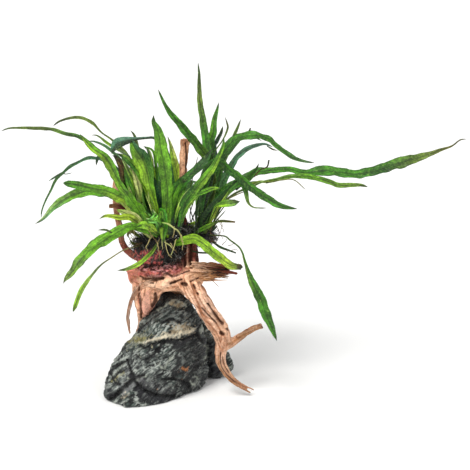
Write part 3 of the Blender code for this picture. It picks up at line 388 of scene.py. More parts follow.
def remeshed(name, bm, voxel, smoothings):
    """The union of the closed shapes in bm, which is used up, as one fine and even mesh; then
    the points and normals of that. bm and the points are in millimetres."""
    rescale(bm, MM)
    mesh = bpy.data.meshes.new(name)
    bm.to_mesh(mesh)
    bm.free()
    rough = linked(name, mesh)
    remesh = rough.modifiers.new("remesh", "REMESH")
    remesh.mode = "VOXEL"
    remesh.voxel_size = voxel * MM
    smooth = rough.modifiers.new("smooth", "SMOOTH")
    smooth.factor = 0.5
    smooth.iterations = smoothings
    graph = bpy.context.evaluated_depsgraph_get()
    result = bpy.data.meshes.new_from_object(rough.evaluated_get(graph))
    bpy.data.objects.remove(rough)
    result.name = name
    values = []
    for what in ("co", "normal"):
        values.append(np.empty(len(result.vertices) * 3))
        result.vertices.foreach_get(what, values[-1])
    return result, values[0].reshape(-1, 3) / MM, values[1].reshape(-1, 3)


# ---------------------------------------------------------------- marks on wood and stone

MARK_REACH = 1.35  # a mark is full to a third of its half-width, and fades out to this much of it
FRONT_SHARP = 6  # how soon marks fade out where the surface turns from the viewer


def painted(colours, places, allowed, marks, ragged):
    """The colours with each mark's laid over them where its route passes. allowed is where
    marks show, 0 to 1, and ragged is about 1, more where their edges draw in."""
    for route, (half_width, strength), word in marks:
        distance = nearest_on(flat_curve(route), places)[0]
        share = np.clip(MARK_REACH - distance * ragged / half_width, 0, 1) * strength * allowed
        colours = mixed(colours, SHADES[word], share)
    return colours


def hollow_profile(places, route, half_width):
    """From 1 in the middle of a hollow to 0 at its rim."""
    distance = nearest_on(flat_curve(route), places)[0]
    return np.clip(1 - (distance / half_width) ** 2, 0, 1)


# ---------------------------------------------------------------- materials


class Nodes:
    """A short way to write a material's nodes."""

    def __init__(self, name, roughness, specular):
        self.material = bpy.data.materials.new(name)
        self.material.use_nodes = True
        self.tree = self.material.node_tree
        self.shader = self.tree.nodes["Principled BSDF"]
        self.set(self.shader, **{"Roughness": roughness, "Specular IOR Level": specular})

    def new(self, kind, **settings):
        node = self.tree.nodes.new(kind)
        for key, value in settings.items():
            setattr(node, key, value)
        return node

    def set(self, node, **values):
        for key, value in values.items():
            node.inputs[key].default_value = value

    def link(self, source, target):
        if isinstance(source, (int, float)):
            target.default_value = source
        elif isinstance(source, Vector):
            target.default_value = (*source, 1)
        else:
            self.tree.links.new(source, target)

    def shade(self):
        return self.new("ShaderNodeAttribute", attribute_name="shade").outputs["Color"]

    def math(self, operation, first, second=0.0):
        node = self.new("ShaderNodeMath", operation=operation)
        self.link(first, node.inputs[0])
        self.link(second, node.inputs[1])
        return node.outputs[0]

    def cloud(self, vector, detail, roughness=0.5, warp=0.0):
        """Noise with lumps of one unit, from 0 to 1."""
        node = self.new("ShaderNodeTexNoise")
        self.set(node, Scale=1.0, Detail=detail, Roughness=roughness, Distortion=warp)
        self.link(vector, node.inputs["Vector"])
        return node.outputs["Fac"]

    def grain(self, size, detail, roughness=0.5, warp=0.0):
        """Cloudy noise whose lumps are size millimetres, from 0 to 1."""
        place = self.new("ShaderNodeTexCoord").outputs["Object"]
        return self.cloud(self.scaled(place, [1 / (size * MM)] * 3), detail, roughness, warp)

    def scaled(self, vector, factors):
        node = self.new("ShaderNodeMapping")
        self.set(node, Scale=factors)
        self.link(vector, node.inputs["Vector"])
        return node.outputs["Vector"]

    def ramp(self, value, low, high, low_to=0.0, high_to=1.0):
        """Goes smoothly from low_to to high_to as the value goes from low to high."""
        node = self.new("ShaderNodeMapRange", interpolation_type="SMOOTHSTEP")
        self.set(node, **{"From Min": low, "From Max": high, "To Min": low_to, "To Max": high_to})
        self.link(value, node.inputs["Value"])
        return node.outputs["Result"]

    def mix(self, share, first, second, blend="MIX"):
        node = self.new("ShaderNodeMix", data_type="RGBA", blend_type=blend)
        for socket, source in ((0, share), (6, first), (7, second)):
            self.link(source, node.inputs[socket])
        return node.outputs[2]

    def over(self, colour, where, strength, tint):
        """The colour with a tint over it, as strong as strength where where is 1."""
        return self.mix(self.math("MULTIPLY", where, strength), colour, linear(*tint))

    def lit(self, colour, factor):
        """The colour made lighter or darker by a factor."""
        node = self.new("ShaderNodeVectorMath", operation="SCALE")
        self.link(colour, node.inputs[0])
        self.link(factor, node.inputs["Scale"])
        return node.outputs["Vector"]

    def bump(self, height, depth, below=None):
        """Bumps of depth millimetres, on top of those below."""
        node = self.new("ShaderNodeBump")
        self.set(node, Strength=1.0, Distance=depth * MM)
        self.link(height, node.inputs["Height"])
        if below is not None:
            self.link(below, node.inputs["Normal"])
        return node.outputs["Normal"]

    def finish(self, colour, normal=None, roughness=None):
        for socket, source in (("Base Color", colour), ("Normal", normal), ("Roughness", roughness)):
            if source is not None:
                self.link(source, self.shader.inputs[socket])
        return self.material


def leaf_material():
    """Satin green, streaked, mottled and net-veined, over the shade of each leaf."""
    n = Nodes("fern_leaf", 0.42, 0.32)
    n.set(n.shader, **{"Coat Weight": 0.06, "Coat Roughness": 0.22})
    # across the leaf and along it, in centimetres
    uv = n.new("ShaderNodeUVMap", uv_map="along").outputs["UV"]
    parts = n.new("ShaderNodeSeparateXYZ")
    n.link(uv, parts.inputs["Vector"])
    off_rib = n.math("ABSOLUTE", parts.outputs["X"])
    # side veins leave the rib forwards, and small veins net the space between
    slant = n.math("SUBTRACT", parts.outputs["Y"], n.math("MULTIPLY", off_rib, 0.8))
    bent = n.math("ADD", slant, n.math("MULTIPLY", n.grain(5.0, 2.0), 0.5))
    vein_gap = 0.34
    veins = n.ramp(n.math("SINE", n.math("MULTIPLY", bent, 2 * math.pi / vein_gap)), 0.72, 1.0)
    net = n.new("ShaderNodeTexVoronoi", feature="DISTANCE_TO_EDGE")
    n.set(net, Scale=9.0)
    n.link(uv, net.inputs["Vector"])
    cells = n.ramp(net.outputs["Distance"], 0.0, 0.12, 1.0, 0.0)
    rib = n.ramp(off_rib, 0.02, 0.075, 1.0, 0.0)
    streaks = n.cloud(n.scaled(uv, (9.0, 0.9, 1.0)), 4.0)
    mottle = n.grain(2.4, 6.0, roughness=0.68)
    colour = n.lit(n.shade(), n.ramp(streaks, 0.38, 0.62, 0.68, 1.34))
    colour = n.lit(colour, n.ramp(mottle, 0.36, 0.64, 0.72, 1.30))
    colour = n.lit(colour, n.ramp(n.grain(12.0, 3.0), 0.36, 0.64, 1.16, 0.80))
    # painted sheen: pale highlights where the mottle stands highest, which the bump below raises
    colour = n.mix(n.ramp(mottle, 0.56, 0.70, 0.0, 0.30), colour, linear(170, 200, 96))
    colour = n.over(colour, veins, 0.10, (160, 196, 92))
    colour = n.over(colour, cells, 0.18, (30, 60, 16))
    colour = n.over(colour, rib, 0.55, (30, 54, 14))
    specks = n.ramp(n.grain(1.4, 2.0), 0.62, 0.70)
    colour = n.over(colour, specks, 0.30, (34, 40, 14))
    normal = n.bump(streaks, 0.40, n.bump(mottle, 0.38))
    return n.finish(colour, n.bump(cells, -0.07, normal), n.ramp(mottle, 0.3, 0.7, 0.55, 0.34))


def wood_material():
    """Bare weathered wood over the shade of each limb, grooved by the mesh itself."""
    n = Nodes("driftwood", 0.74, 0.28)
    fine = n.grain(0.9, 6.0, roughness=0.7)
    patches = n.grain(4.0, 5.0, roughness=0.6)
    pores = n.ramp(n.grain(1.3, 3.0), 0.60, 0.68)
    colour = n.lit(n.shade(), n.ramp(patches, 0.38, 0.62, 0.82, 1.16))
    colour = n.lit(colour, n.ramp(fine, 0.36, 0.62, 0.80, 1.16))
    colour = n.over(colour, pores, 0.35, (110, 60, 36))
    return n.finish(colour, n.bump(fine, 0.7), n.ramp(fine, 0.3, 0.7, 0.82, 0.62))


def stone_material():
    """Dark layered rock with a damp sheen, over the shade stored on the mesh."""
    n = Nodes("stone", 0.45, 0.45)
    grit = n.grain(0.9, 6.0, roughness=0.75)
    flecks = n.ramp(n.grain(2.2, 4.0, roughness=0.70, warp=0.6), 0.60, 0.68)
    colour = n.over(n.shade(), flecks, 0.35, (178, 186, 178))
    colour = n.mix(n.ramp(grit, 0.52, 0.30, 0.0, 0.65), colour, linear(40, 44, 46), "MULTIPLY")
    normal = n.bump(flecks, 0.5, n.bump(grit, 0.9))
    return n.finish(colour, normal, n.ramp(grit, 0.3, 0.7, 0.34, 0.60))


def fibre_material(name, roughness, dark):
    """Fine grained skin over the stored shade, for roots and hairs."""
    n = Nodes(name, roughness, 0.4)
    grain = n.grain(0.9, 3.0)
    colour = n.mix(n.ramp(grain, 0.62, 0.3, 0.0, dark), n.shade(), linear(80, 80, 80), "MULTIPLY")
    return n.finish(colour, n.bump(grain, 0.15))


# ---------------------------------------------------------------- the leaves

# As in the solids: the route and then, evenly spaced along it, the widths as seen, the depths
# and the rolls in degrees; and the shades from the base to the tip. What may follow: right
# gives the shades of one half, partly the leaf's own colour and partly painted light and shade
# of a folded blade's two halves; fold how deep the blade's V is, as a share of its half-width,
# and ruffle the height of its crinkles, which are also painted lighter where they rise. A leaf
# with tip plain has no blackened end, a blunt one isn't drawn to a point, and one that
# leans_back has its face up.
LEAVES = table("""
# left clump, outer leaves
# the longest on the left, nearly level
left_01 | -14,158 -22,188 -45,215 -70,241 -88,255 -106,260 -119,264 -138,265 -159,265 -169,262 | 2.5 4 5 4.5
 4 3.6 3 1 | 5 14 26 42 55 | 20 -30 -40 -20 | olive mid olive mid olive olive
# arch above it
left_02 | -13,159 -25,203 -40,233 -56,251 -68,260 -78,270 -88,275 -99,275 -110,272 -117,267 | 3 5.5 7 5 4.5
 3.4 1.6 3.6 3 1.6 | 3 10 20 34 44 | -20 30 40 20 | mid bright olive olive olive moss
# folded leaf in front
left_03 | -18,157 -26.5,170 -31,182 -39.5,195 -49,208 -54,217 -60,229 -66,237 -78,245 -90,259 | 8 13 14 11 8
 7 8.5 8.5 6 4.5 1 | -10 -24 -38 -50 -60 | -15 -30 20 | bright bright lime lime | right bright bright bright
 bright | fold 0.35
# blue-green, arches over from behind the central leaf
left_04 | -4,159 1,195 0,225 -5,245 -15,254.5 -23,255 -31,254.5 -39,253.5 -46,252 -53,249 -57,243 -58.5,239
 | 3 5 6 6 6 5.5 4.5 4 3.4 2.8 2.6 2.6 3.4 8 9 1 | 0 -4 -13 -23 -32 | 10 30 50 10 0 | mid mid deep night
 deep | right mid mid teal blue teal
# thin and drooping, far left
left_05 | -18,159 -38,205 -60,229 -76,235 -87,233 -100,226 -108,219 -114,213 -119,203 -124,193 -128,183
 -129,175 | 2 3 3.4 3.4 3.4 3.4 3 2 1 | 6 4 -6 -20 -32 | 0 35 35 10 | mid dark teal dark mid
# blue-green droop
left_06 | -20,157 -40,186 -60,199 -78,202 -91,200 -103,195 -117,185 -127,174 -135,169 | 3 5 7 10 11 9 5 1 |
 -2 -8 -14 -24 -36 | 0 30 25 10 | mid mid bright teal | right mid mid bright sage | fold 0.2
# yellow-green with a torn blunt tip
left_07 | -17,156 -42,190 -52,197 -63,202 -79,205 -93,208 -107,210 | 4 8 11 11.5 9 7.5 7.5 5 | -6 -20 -34
 -48 -60 | -10 -35 -20 5 | bright yellow bright mid | right mid bright bright mid | tip plain
left_08 | -18,155 -37,174 -51,175.5 -64,177 -71,174 | 4 7.5 6.5 4.5 1 | -10 -22 -34 -42 | 0 30 20 | pale
 yellow yellow
# long and bright, lower left, in front
left_09 | -12,157 -20,161 -30,164 -39.5,166.5 -53,160 -67,152 -78,144 -90,132 -97,122 -104,114 -107,109 |
 3.5 5.5 7 10.5 10.5 10.5 10 9 6.5 1 | -12 -32 -48 -62 -70 | -10 25 35 15 | bright bright bright olive |
 fold 0.15
# thin stalk and a small drooping blade
left_10 | -22,149 -40,145 -48,142 -59,135 -69,128 -78,118 -88,104 -97,81 | 1.2 1.2 1.2 1.4 2.6 4.2 4.8 3 |
 -6 -18 -30 -40 -46 | 0 20 10 | straw straw olive lime lime
# small, across the front of the stump
left_11 | -11,152 -17.5,141.5 -23,136 -28.5,131 -36,126.5 -45,123.5 -53,122.5 | 1.6 3 4 4.2 3.4 1 | -14 -30
 -40 -44 | -10 25 10 | olive lime olive
# left clump, middle leaves
# tall, broad, central
middle_01 | -5,156 -3,189 -3,202 -4,215 -6,228 -9,243 -11,257 -13,264 -16.4,271 -16.4,278 | 8 9.5 10 10.5 11
 12 11.5 7.5 1.5 | -8 -20 -30 -38 -44 | -20 25 10 | lime bright bright bright mid | fold 0.15
middle_02 | -18,158 -29,192 -34,208 -42,224 -49,237 | 4 6 6.5 5 1 | -2 -8 -16 -22 | 20 -30 10 | bright sage
 lime sage
middle_03 | -16,158 -26,187 -30,202 -38,222 -40,233 | 4 6 6.5 5 1 | 4 8 12 14 | -25 -20 15 | bright pale
 lime sage
middle_04 | -12,158 -18,193 -22.5,203 -27,213 -32.5,223 -39,230 -46,236 -54,240 | 3 4 5 6 7 7 6 1 | -5 -16
 -24 -27 | 20 30 -10 | bright lime lime mid dark | right bright lime lime bright olive
# folded, two-toned
middle_05 | -10,158 -13,184 -17,198 -20,209 -22,219 -24.5,228 -28,235 -33,242 -37,249 -39.5,256 | 2.5 2.8 3
 3.4 5 7.5 11 14.5 16 13 7 1 | -3 -12 -18 -20 -18 | 0 -25 -15 | bright lime lime lime grass | right bright
 lime bright dark teal | fold 0.45
middle_06 | -8,158 -11,186 -14,200 -16,218 | 4 8 7 1 | -1 -4 -5 | 25 10 25 | mid teal jade
middle_07 | 1,157 6,190 8,208 6,223 3.5,235 0.5,248 -2.5,257 | 4 6 8 9.5 9 5 1 | 0 5 12 20 | -10 25 15 |
 bright lime lime lime | right bright lime yellow pale
# broad and dark, behind the bright one
middle_08 | -2,157 2,193 9,206 17,215 26,223 34,231 43,245 | 6 9 12 11 8.5 8 1 | -3 -10 -14 -14 -10 | -15
 -30 -20 | mid bright mid dark deep | right mid mid dark dark
# bright, in front
middle_09 | 7,155 10.5,171 12.5,181 16,191 24,202 31,211 41,223 48,235 53,247 54,256 | 1.5 3.5 5.5 7 8.5 8.5
 6.5 5 3.6 1 | -9 -22 -32 -36 -36 | 15 30 -10 | grass mid bright mid | right mid mid lime bright | fold 0.15
# right clump
# the tallest
right_01 | 34,160 42,208 40,232 36,247 35,257 33,269 31,282 29.5,295 29,308 29,320 28,331 | 2.5 4.5 6.5 7.5
 7.5 6 4 1 | 8 8 12 20 30 | -20 30 15 | mid mid mid mid olive deep | fold 0.2
# tall, leans to the left
right_02 | 32,160 42,203 39,228 35,239 30,245 24,253 17,261 10,269 2,278 -4,287 -9,297 -12,304 | 2.5 5 8 9
 8.5 7.5 4.5 1 | 4 -2 -8 -14 -22 | 20 -30 -10 | mid olive mid mid | fold 0.15
right_03 | 36,160 43,215 41,240 40,251 43,260 43.5,267 45,276 47,283 49,291 | 2.5 4 6 7.5 8 6 1 | 11 16 24
 34 | -30 20 0 | dark mid bright mid | right dark dark mid mid | fold 0.2
right_04 | 37,160 47,210 44,244 47,252 51,260 53,267 | 2 5 8 7 5 2 | 10 6 2 2 | 25 10 -20 | dark teal blue
 moss
# the big arch
right_05 | 30.5,160 33,195 38,218 46,227 54,240 63,252 76,257 88,257 98,254 105,248 112,243 122,236 132,232
 145,230 | 1.5 3 6 10 9.5 8.5 7 5 4 1 | 8 5 0 -12 -26 -40 | 0 -25 -40 -40 -15 | dark dark mid dark | fold
 0.15
right_06 | 38,160 48,212 58,243 65,259 71,274 | 2 4 5 4.5 1.5 | 13 22 34 44 | 20 -20 -20 | dark mid olive
right_07 | 37,160 50,205 61,227 67,236 75,243 83,247 94,249 103,246 | 2 5 7 7.5 6 4 1 | 13 24 38 54 | 10 35
 30 | dark mid teal blue
# long and dark, hangs to the right
right_08 | 27,160 26,180 30,195 32,214 40,228 50,231 58,224 67,218 77,209 88,201 100,193 112,187 128,184 |
 1.2 2 3.4 6.5 7.5 7.5 7 6 1 | 1 -12 -24 -42 -62 | 10 30 35 15 | deep dark mid dark | right deep dark dark
 mid | fold 0.15
# the longest of all, out to the right
right_09 | 26,161 29,173 38,185 48,195 59,205 71,211 85,220 95,222 107,223 120,223 136,220 152,222 168,221
 184,219 200,221 217,226 233,231 247,235 260,239 271,243 282,247 290,253 297,254 | 2 5 8 9.5 8 6 5.5 9.5 9 9
 10 11 6 2.2 1 | 4 8 14 26 40 | 0 -20 -40 -25 -25 -10 | mid mid mid mid mid mid olive brown | right dark
 dark mid mid mid dark olive brown | fold 0.12
# long stalk, yellow-green blade below the longest
right_10 | 33,159 52,188 66,200 81,206 92,211 107,214 122,217 142,216 160,211 168,208 182,208 191,208
 198,206 | 1.6 2 2.2 2.2 2 3.5 5 5 4.5 2 | 1 -5 -10 -16 -22 | 0 20 25 10 | olive sage bright olive | right
 olive olive bright olive
# curved down
right_11 | 35,159 50,188 63,205 72,209 76,201 78,191 83,186 90,185 97,185 | 1.6 1.8 1.8 2.4 5 4.5 1.6 1 | 2
 -12 -26 -36 | 0 20 10 | olive yellow yellow mid mid olive sage
right_12 | 33,159 40,173 45,186 54,189 63,190 70,191.5 | 1.2 1.2 1.2 1.2 2.5 6.5 7 3 | 0 -16 -30 -36 | 0 -25
 -10 | mid olive bright olive | right mid lime lime mid
# small, low
right_13 | 24,158 30,163 38,167 47,171.5 | 2 3.6 3.6 1 | -9 -26 -40 | 0 25 10 | mid bright olive
# bright, lower right, black tip, across the front of the stick
right_14 | 4,149 20,154 28,153 36,147 43,141 51,135 59,129 65,127 71,126 | 4.5 8 9 9 9 8.5 7.5 5 | -12 -32
 -46 -58 -66 | -15 20 30 | bright lime lime lime yellow olive | fold 0.12 | blunt
# thin stalk, dark blade that droops beside the stump
right_15 | 38,158 54,157 60,153 69,146 73,139 74,135 79,119 85,106 91,94 95,82 101,68 107,52 | 1.4 1.4 1.6
 2.2 4.5 8 9.8 9.2 6.5 1 | 2 -12 -22 -30 -36 | 0 20 30 20 | olive mid mid dark | right olive olive mid mid |
 fold 0.12
right_16 | 34,159 38,198 37,228 34,238 | 2.5 5 8 7 1.5 | 10 36 68 98 | -20 20 20 | dark mid mid | fold 0.2 |
 leans_back
right_17 | 38,158 56,196 72,208 88,212 | 2 2.4 7 6 1.5 | 12 42 72 98 | 20 -20 10 | dark dark mid | fold 0.15
 | leans_back
right_18 | 32,158 30,186 29,198 27,180 | 2.5 5 8 7 1.5 | 11 44 82 114 | 10 25 -10 | mid bright mid | fold
 0.15 | leans_back
# left clump, leaves that lean back
back_01 | -18,158 -34,190 -50,212 -62,222 | 4 8 10 8 1.5 | 4 34 66 92 | 20 -20 10 | mid bright mid | fold
 0.2 | leans_back
back_02 | -12,158 -22,208 -30,234 -34,228 | 4 9 10 8 1.5 | 5 36 78 118 | -20 10 30 | mid mid bright | fold
 0.15 | leans_back
back_03 | -7,158 -8,208 -7,242 -7,256 | 4 10 11 8 1.5 | 6 30 58 84 | 20 20 -20 | dark dark mid | fold 0.2 |
 leans_back
back_04 | -3,158 2,196 5,220 4,206 | 4 8 9 8 1.5 | 6 40 82 124 | -25 0 20 | dark mid mid | fold 0.15 |
 leans_back
back_05 | -16,155 -38,184 -58,197 -78,202 | 4 7 8 7 1.5 | 5 34 58 80 | 10 -20 0 | mid bright lime | fold
 0.15 | leans_back
back_06 | 2,156 13,192 22,212 28,204 | 4 9 10 8 1.5 | 5 40 84 122 | 25 -10 20 | dark mid dark | fold 0.15 |
 leans_back
""")

# Leaves, stalks and threads too small for solids of their own, in the same form
# leaves that hide the foot of the stick, their near-black parts painted shade
# the bundle of the right clump, its near-black colours painted shade
SMALL_LEAVES = table("""
# curled tips and bits at the far left
-40,236 -60,248 -72,257 -79,258 | 2 2.6 3 2 0.8 | 8 16 20 | 0 30 0 | mid olive lime olive
-44,228 -62,245 -74,251 -83,252 | 2 3 2.6 0.8 | 4 12 18 | 10 20 0 | mid teal
-14,205 -14,228 -17,242 -27,247 | 3 4 3 1 | 8 12 16 | 20 -20 10 | mid bright
-103,223 -109,219.4 -115,216 -122,211.6 | 1.6 2 1.8 1 | -11 -14 -16 | 0 0 0 | dark deep teal | tip plain
-108,219.4 -103,219 -97,220.6 | 0.9 0.8 0.8 | -13 -14 -15 | 0 0 0 | moss blue | tip plain
-68,241 -72.5,234 -74,227 | 3 3 1 | -42 -43 -43 | 0 10 0 | mid teal deep
# a pale leaf in front of the driftwood's arm, and a thin one below it
-26,166 -36,175 -45,180 -53,183 | 5 9 7 1.5 | -20 -25 -27 | 0 15 0 | lime pale pale lime | tip plain
-58,160 -64,163 -72.6,163 | 1.4 2 1 | -50 -52 -54 | 0 0 0 | olive moss | tip plain
# the blackened end of the bright leaf at the lower right
67.5,127.4 70,126.4 71.6,124.6 | 4 4.4 3 | -66.5 -67 -67 | 0 0 0 | brown black
# bits on the big arch
76,257 79,261 80.5,265 | 3 2.4 1.3 | -5 -6 -6 | 0 0 0 | mid brown
97,247 103,243.6 108,242.4 | 1 1.6 1 | -18 -19 -20 | 0 0 0 | teal brown | tip plain
# bright young leaves that hang in front of the left rhizome
-12,164 -8,183 -6,170 -7,158 -6.5,151 | 3 4 7.5 7.5 2 | -12 -26 -34 | 0 20 -10 | mid grass grass bright |
 right mid bright lime lime | fold 0.3
-33,166 -27,168 -20,166 -13,160 | 3 7 7 2 | -34 -38 -30 | -20 10 30 | bright lime yellow | fold 0.3 | ruffle
 1.2
-12,160 -16,171 -21,177 -25,181 | 3 6 5 2 | -20 -34 -40 | 20 -20 10 | grass bright lime | right bright lime
 mint | fold 0.3 | ruffle 2.2 | tip plain
-11,160 -12,170 -15,177 -18,183 | 3 5 5 2 | -22 -38 -42 | -30 10 30 | grass mint mid | right bright bright
 sage | fold 0.4 | ruffle 2.2 | tip plain
-10,161 -8,172 -9,182 | 3 5 5 2 | -22 -36 -38 | 30 -10 20 | bright grass lime | right mid mid bright | fold
 0.3 | ruffle 2.0 | tip plain
-23,171 -18,174 -13,179 | 4 5 3 | -40 -43 -41 | 20 40 10 | grass mint bright | fold 0.4 | ruffle 2.2 | tip
 plain
-9,166 -13,171 -19,172 -24,174 | 3 5 5 2 | -36 -44 -42 | 0 30 -20 | bright mint lime | right mid bright sage
 | fold 0.4 | ruffle 2.4 | tip plain
# thin strands in the middle of the clump
-16,176 -20,188 -25,200 | 1.2 1.6 1 | -24 -27 -27 | 0 20 0 | bright pale lime | tip plain
-18,178 -20,189 -22,202 | 1.2 1.6 1 | -23 -27 -26 | 0 20 0 | mid lime pale | tip plain
-13,176 -17,188 -20,197 | 1.2 1.5 1 | -24 -28 -28 | 0 20 0 | lime lime bright | tip plain
-22,178 -26,190 -28,202 | 1.2 1.8 1 | -22 -25 -24 | 0 20 0 | mid bright mid | tip plain
-34,190 -38,198 -43,209 | 1 1.8 1.2 | -28 -30 -29 | 0 0 0 | lime pale bright | tip plain
-32,240 -34.5,254 -36.5,259 -40,263 | 3 4 2.6 1 | -12 -14 -14 | 0 10 0 | mid sage olive moss
# pale and dark leaves in the thick of the left clump
-28,190 -30,200 -32.5,210 -35,219 -38.8,227 | 2 5 6.5 5 1 | -18 -20 -18 | 0 10 0 | lime pale pale | tip
 plain
-34,186 -38,200 -42,212 -46,226 | 2 5 5 1 | -16 -19 -17 | 0 10 0 | mid bright mid bright | tip plain
-39,198 -44,210 -47,221 -50,230 -56,238 | 4 7 8 7 2 | -12 -16 -14 | 0 20 0 | deep moss brown moss | ruffle
 1.5
-30,185 -36,200 -40,214 -45,226 -51,233 -58,238 | 4 6 7 7 5 1 | -6 -8 -10 | 0 -20 0 | dark deep olive dark
-14,170 -17.5,200 -19.5,222 -20,236 -22,243 -26,246 | 4 7 8 9 6 1 | 4 6 10 | 0 15 0 | mid mid grass teal |
 right mid bright lime sage
-22,180 -26,196 -31,212 -35,224 | 4 6 6 1 | 2 2 0 | 10 20 0 | dark mid mid
-28,182 -34,194 -38,205 -44,216 | 4 6 5 1 | -2 -4 -8 | 10 20 0 | dark mid bright
# dark leaves that hide the foot of the stick
0,158 4,180 9,198 15,213 | 5 9 11 5 | -12 -16 -16 | 10 20 0 | night mid bright mid | right night deep bright
 mid
8,158 11,174 16,190 23,204 | 4 6 8 3 | -14 -17 -16 | -10 20 0 | night deep mid
5,170 8,184 14,196 22,207 | 1.5 3 3.4 1 | -20 -30 -30 | 0 20 0 | mid lime pale bright | tip plain
7,176 12,192 20,203 27,212 | 1.5 3 3 1 | -22 -34 -34 | 0 20 0 | deep mid dark dark | tip plain
10,166 15,180 22,191 31,200 | 1.2 2.4 2.6 1 | -24 -40 -42 | 0 20 0 | dark bright lime bright | tip plain
24,158 26,172 29,186 32,198 | 1.2 1.4 1.4 1 | -13 -14 -14 | 20 0 10 | black deep deep
# the dark bundle of the right clump
34,160 34,185 36,205 39,225 42,240 | 1.5 2.5 4 7 4 | 2 4 2 | 0 20 0 | night deep dark dark
30,160 34,185 39,208 44,226 | 1.5 3 6.5 4 | -2 -8 -12 | 20 -10 0 | night night deep
26,163 37,182 50,196 61,207 70,213 | 2 5 5 5 3 | -4 -10 -14 | 0 20 0 | night deep dark dark
27,162 40,182 53,195 64,205 75,211 | 2 4.5 4 4 2 | 0 -10 -16 | 0 -20 0 | night night deep dark
26,197 34,201.5 42,204.5 50.5,205 | 2 4 4 1 | -28 -34 -38 | 0 20 0 | mid bright lime | tip plain
# the small leaves and stems between the stick and the right clump
16,162 21,167.5 28,172.5 | 3 6 4 1 | -6 -10 -12 | 20 0 -10 | olive lime yellow | tip plain
24,160 20,178 27,200 31,206 | 0.9 1.0 1.0 0.8 | 4 2 4 | 0 0 0 | deep olive
27,160 26,184 35,214 | 1.2 1.4 0.8 | 5 3 5 | 0 0 0 | deep dark
22,160 15,178 19,200 28,237 | 1.2 1.4 1.0 0.8 | 6 4 8 | 0 0 0 | olive olive brown
28,162 30,182 34,205 36,216 | 1.2 1.8 3 1 | 0 -4 -8 | 20 -20 0 | deep dark
26,162 32,182 42,203 50,214 | 1.4 2.4 3 1 | 3 -4 -10 | -20 20 0 | deep dark mid
30,160 24,172 20,186 21,196 | 1.1 1.1 1 0.8 | 2 1 2 | 0 0 0 | black deep dark | tip plain
21,160 26,172 36,188 | 1.1 1.1 0.8 | -2 -3 -4 | 0 0 0 | black olive deep | tip plain
18,161 23,176 30,192 35,204 | 1.1 1.2 1 0.8 | 0 -1 -2 | 0 0 0 | deep dark mid | tip plain
# stems and small blades low on the right
33,160 46,170 51,172 65,171 | 1.2 1.4 2.6 1.6 | 4 -6 -14 | 0 10 0 | olive olive brown | tip plain
36,162 46,172 56,183 | 1.2 1.3 0.8 | 2 -10 -18 | 0 0 0 | olive dark
38,161 48,178 57,190 | 1.2 1.3 0.8 | 4 -4 -10 | 0 0 0 | olive olive
40,174 52,190 66,198 76,202 | 1.2 1.4 1.4 0.8 | 0 -8 -14 | 0 0 0 | olive straw
42,152 50,146 58,143 66,140 | 1.4 2.4 2.0 1.4 | 0 -8 -12 | 0 10 0 | black dark black
22,142 29,140.5 39,140 | 1.4 1.8 1.4 | -12 -18 -22 | 0 0 0 | black black
# upright tips and squiggles above the longest leaf
66,203 78,216 86,224 89,230 | 2 4 3.4 1 | 0 -4 -6 | 0 20 0 | dark mid dark
84,216 90,223 97,226 99,233 | 1.2 1.2 1.4 1.6 | -6 -10 -12 | 0 0 0 | brown black
40,236 52,252 57.5,264 57,270 55,276 | 1.4 1.2 1.4 2 1 | 20 26 30 | 10 20 0 | mid olive olive brown
72,206 88,211 98,211 109,212 | 1.6 2.4 2.4 0.8 | -4 -8 -12 | 0 10 0 | olive yellow
96,210 112,213 124,213 136,203 | 1.2 1.2 1.0 0.8 | -10 -16 -20 | 0 0 0 | olive straw | tip plain
58,238 72,256 80,258 92,252 | 2 3 2.4 1 | 22 32 38 | 10 20 0 | dark mid
# brown, dried bits at the left of the rhizome
-30,156 -38,161 -42,158 -40,154 | 2 3.4 3 1 | -8 -12 -12 | 20 50 0 | olive brown | fold 0.4
-28,150 -34,148 -38,150 -41,155 | 2 3 2.4 1 | -8 -12 -12 | 0 40 0 | brown olive | fold 0.4
""")

# Young leaves that crowd the middle of each clump: how many, from where (x, y, z), how far
# round it they start, the arc they fill as degrees round from +X, the degrees they rise,
# and how long they are
# their shades darken towards the base as painted shade of the crowded middle
CROWDS = [
    dict(count=26, root=(-11, 2, 160), spread=12, turns=(20, 340), rises=(52, 84),
         lengths=(34, 62), shades="deep dark mid"),
    dict(count=12, root=(32, 14, 159), spread=6, turns=(10, 150), rises=(40, 64),
         lengths=(13, 22), shades="deep dark dark"),
]

COLUMNS = (-1.0, -0.86, -0.62, -0.36, -0.12, 0.0, 0.12, 0.36, 0.62, 0.86, 1.0)
RING = 2 * len(COLUMNS) - 2  # corners round a section, top and underside
SECTION_STEP = 1.5
BLADE_THICK = 0.55
MARGIN_THICK = 0.12
LEAST_WIDTH = 0.8
FOLD = 0.1  # where the leaf gives none
FOLD_ROUND = 0.01  # rounds the fold's bottom
RIB_HALF = 0.8  # half-width of the midrib
RIB = 0.40  # how far the midrib stands out below
GROOVE = 0.22  # how deep it is above
RIPPLE = 0.45  # of the margins, as a share of the half-width
QUILT = 0.34  # height of the cushions between the veins
TIP_TAPER = 5.0  # length over which a tip narrows
DARK_TIP = 6.0  # length of the blackened end
DIM_BASE = 0.22  # share of the length that is in the clump's shade
BASE_LIGHT = 0.62  # at the base, in that shade
LEAST_LIGHT = 0.3
SIDE_BLEND = 2.2  # how sharply one half's shades pass into the other's at the rib
BLUNT_WIDTH = 1.2  # small leaves that end wider than this are blunt
NUDGES = [1.5 * ((k + 1) // 2) * (-1 if k % 2 else 1) for k in range(41)]


def read_leaf(route, widths, depths, rolls, shades, *more):
    leaf = dict(route=route, widths=widths, depths=depths, rolls=rolls, shades=shades)
    for extra in more:
        word, _, value = extra.partition(" ")
        leaf[word] = float(value) if word in ("fold", "ruffle") else value or True
    return leaf


